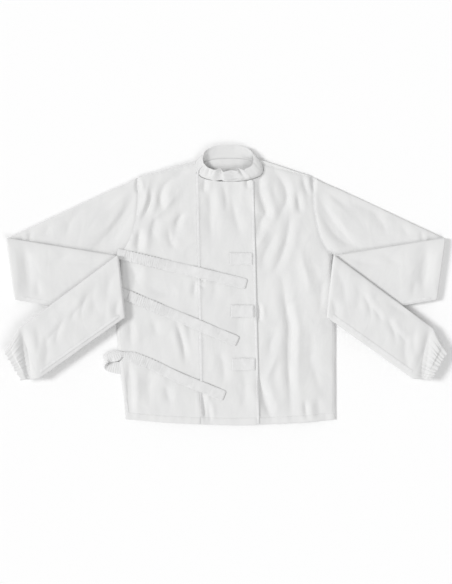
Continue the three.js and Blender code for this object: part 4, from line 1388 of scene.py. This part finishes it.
for side, out in (("right", -1), ("left", 1)):
    rings, flats, parts = build_sleeve(out)
    middle_rows = [i for i, part in enumerate(parts) if part == "middle"]
    split = middle_rows[-5]
    upper_half = sleeve_piece(
        side + "_sleeve_to_outer_fold", rings[: split + 1], flats[: split + 1], out, cotton
    )
    lower_half = sleeve_piece(side + "_sleeve_to_wrist", rings[split:], flats[split:], out, cotton)
    middle_body, end_body = side + "_sleeve_middle", side + "_forearm"
    fold_x = float(joints[side + "_sleeve_outer_fold"]["pos_m"][0])
    turn_x = float(joints[side + "_sleeve_inner_fold"]["pos_m"][0])

    # The cuff: a short gathered band with elastic inside its edge
    _, raw, face, depth = around_tube(1.0)
    cuff_rings, cuff_flats, elastic_rings, elastic_flats = [], [], [], []
    start = rings[-1]
    middle_z = INNER_FOLD_Z + (NEAR_LAYER + FAR_LAYER) / 2
    for t in np.linspace(0, 1, 16):
        top = np.array(CUFF_START[0]) * (1 - t) + np.array(CUFF_END[0]) * t
        low = np.array(CUFF_START[1]) * (1 - t) + np.array(CUFF_END[1]) * t
        u = (raw + 1) / 2
        xy = (low[None] * (1 - u[:, None]) + top[None] * u[:, None]) * MM
        ahead = np.array([0.809, -0.588])
        ripple = pleats_at(raw, CUFF_SEEDS[out])
        half = 4.4 * MM * depth * (1 - 0.22 * t)
        waves = ripple * MM * np.sqrt(np.clip(1 - raw**4, 0, 1)) * (1 - 0.3 * math.sin(math.pi * t))
        z = middle_z + face * (half + waves)
        edge = xy + ahead[None] * (ripple * 1.2 * MM * t + 1.4 * MM * t * np.sin(raw * 17))[:, None]
        ring = np.column_stack([out * edge[:, 0], edge[:, 1], z])
        mix = smooth(np.array([t / 0.25]))[0]
        ring = ring * mix + start * (1 - mix)
        cuff_rings.append(ring)
        cuff_flats.append(np.column_stack([np.full(AROUND, t * 22 * MM), raw * 86 * MM]))
        if 0.2 < t < 0.85:
            inner = ring.copy()
            inner[:, 2] = middle_z + (ring[:, 2] - middle_z) * 0.5
            inner[:, :2] = ring[:, :2] * 0.94 + ring[:, :2].mean(0) * 0.06
            elastic_rings.append(inner)
            elastic_flats.append(cuff_flats[-1])
    cuff = sleeve_piece(side + "_gathered_cuff", np.array(cuff_rings), np.array(cuff_flats), out, cotton)
    cuff_band = sleeve_piece(
        side + "_cuff_elastic_band", np.array(elastic_rings), np.array(elastic_flats), out, elastic
    )
    declare(cuff, end_body, "cotton_canvas", side + "_cuff")
    declare(cuff_band, end_body, "elastic", side + "_cuff_elastic")

    # Felled underarm seam on each stretch, where it shows
    for kind, body, inset, gap in (
        ("upper", "root", 9, 0.35),
        ("middle", middle_body, 9, 0.35),
        ("forearm", end_body, 14, 0.75),
    ):
        rows = [i for i, part in enumerate(parts) if part == kind]
        want = 1.0 if kind != "middle" else -1.0
        picked = []
        for i in rows[3:-3]:
            layer = rings[i][face == want]
            edge = layer[np.argmin(layer[:, 1] * 0.8 + np.abs(layer[:, 0]) * -0.2)]
            distance = np.linalg.norm(layer[:, :2] - edge[:2], axis=1)
            order = np.argsort(distance)
            picked.append([np.interp(inset * MM, distance[order], layer[order, k]) for k in range(3)])
        line = np.array(picked)
        smooth_z = np.convolve(np.pad(line[:, 2], 2, mode="edge"), np.ones(5) / 5, "valid")
        lengths = np.r_[0, np.cumsum(np.linalg.norm(np.diff(line[:, :2], axis=0), axis=1))]
        seam = ribbon(
            side + "_" + kind + "_sleeve_felled_seam",
            line[:, :2],
            4 * MM,
            4 * MM,
            lambda x, y, s, v, z=smooth_z, n=lengths, gap=gap: np.interp(s, n, z) + gap * MM,
            1.1 * MM,
            seam_cloth,
            9,
            own_path=True,
        )
        declare(seam, body, "seam_tape", "%s_sleeve_%s_seam" % (side, kind))
    stand_for(
        upper_half,
        "cotton_canvas",
        *["%s_sleeve_%s" % (side, n) for n in ("upper_front", "upper_back", "middle_front", "middle_back")],
    )
    stand_for(
        lower_half,
        "cotton_canvas",
        *["%s_sleeve_%s" % (side, n) for n in ("forearm_front", "forearm_back")],
    )
    for piece, first, second, at_x, at_z in (
        (upper_half, "root", middle_body, fold_x, OUTER_FOLD_Z),
        (lower_half, middle_body, end_body, turn_x, INNER_FOLD_Z),
    ):
        start, end = (at_x, 0, at_z - FOLD_HALF_BLEND), (at_x, 0, at_z + FOLD_HALF_BLEND)
        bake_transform(piece)

# ---- Stitching of the body -----------------------------------------------------------------
def raised(height, gap):
    return lambda x, y: height(x, y) + gap


body_rows = []
xs = np.linspace(hem_line[0][0] + 6 * MM, hem_line[-1][0] - 6 * MM, 120)
line = np.column_stack([xs, hem_at(xs) + HEM_SEWING])
right_part = line[line[:, 0] < flap_edge_x(-0.36) - 3 * MM]
left_part = line[line[:, 0] > seam_x(-0.36) + 8 * MM]
for part in (right_part, left_part):
    body_rows.append(stitch_row(part, raised(front_height, 1.15 * MM)))
for line, out in ((right_side, -1), (left_side, 1)):
    body_rows.append(stitch_row(line - np.array([out * SIDE_SEWING, 0]), raised(front_height, 0.12 * MM)))
body_sewing = sew_stitches("body_topstitching", body_rows, thread_cotton)
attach(body_sewing, "root")
flap_rows = list(tab_rows)
ys = np.linspace(flap_low.y + 4 * MM, flap_high.y - 6 * MM, 160)
edge_row = np.column_stack([flap_edge_x(ys) + EDGE_SEWING, ys])
flap_rows.append(stitch_row(edge_row, raised(flap_height, 0.12 * MM)))
xs = np.linspace(flap_edge_x(-0.36) + 10 * MM, seam_x(-0.36) - 16 * MM, 60)
flap_rows.append(stitch_row(np.column_stack([xs, hem_at(xs) + HEM_SEWING]), raised(flap_height, 1.15 * MM)))
flap_sewing = sew_stitches("flap_topstitching", flap_rows, thread_cotton)
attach(flap_sewing, "flap")

stand_for(panels["front_flap"], "cotton_canvas", "front_flap")
seam_bend(panels["front_flap"])
stand_for(flap_hem, "cotton_canvas", "flap_hem")
seam_bend(flap_hem)
declare(binding, "flap", "seam_tape", "flap_edge_binding")
back = panels["back_panel"]

# ---- Floor, light and camera ---------------------------------------------------------------
FLOOR_REACH = 9  # metres from the middle to each side
ROOM_LIGHT = 0.52
CAMERA_LENS = 100  # millimetres
CAMERA_AT = (0, -0.01925, 4.461 + 0.012)  # metres, looking straight down

floor_mesh = bpy.data.meshes.new("floor")
near, far = -FLOOR_REACH, FLOOR_REACH
floor_mesh.from_pydata([(near, near, 0), (far, near, 0), (far, far, 0), (near, far, 0)], [], [(0, 1, 2, 3)])
floor = bpy.data.objects.new("floor", floor_mesh)
bpy.context.scene.collection.objects.link(floor)
paint = bpy.data.materials.new("Pale_floor")
paint.use_nodes = True
finish = paint.node_tree.nodes["Principled BSDF"]
finish.inputs["Base Color"].default_value = (*grey(0.97), 1)
finish.inputs["Roughness"].default_value = 0.9
finish.inputs["Specular IOR Level"].default_value = 0.1
floor_mesh.materials.append(paint)
floor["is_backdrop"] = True

world = bpy.data.worlds.new("Soft_room")
world.use_nodes = True
sky = world.node_tree.nodes["Background"]
sky.inputs["Color"].default_value = (1, 1, 1, 1)
sky.inputs["Strength"].default_value = ROOM_LIGHT
bpy.context.scene.world = world


def soft_sun(name, direction, strength, spread):
    light = bpy.data.lights.new(name, "SUN")
    light.energy = strength
    light.angle = math.radians(spread)
    lamp = bpy.data.objects.new(name, light)
    lamp.rotation_mode = "QUATERNION"
    lamp.rotation_quaternion = Vector(direction).to_track_quat("Z", "Y")
    bpy.context.scene.collection.objects.link(lamp)


soft_sun("key_softbox", (-0.84, 0.08, 0.72), 1.72, 18)
soft_sun("fill_softbox", (0.42, -0.60, 0.80), 0.62, 34)

camera_data = bpy.data.cameras.new("camera")
camera_data.lens = CAMERA_LENS
camera = bpy.data.objects.new("camera", camera_data)
camera.location = CAMERA_AT
camera.rotation_euler = (0, 0, 0)
camera_data.clip_end = 60
bpy.context.scene.collection.objects.link(camera)
bpy.context.scene.camera = camera
bpy.context.scene.view_settings.view_transform = "Standard"
bpy.context.scene.view_settings.look = "None"

bpy.context.view_layer.update()
low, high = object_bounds()
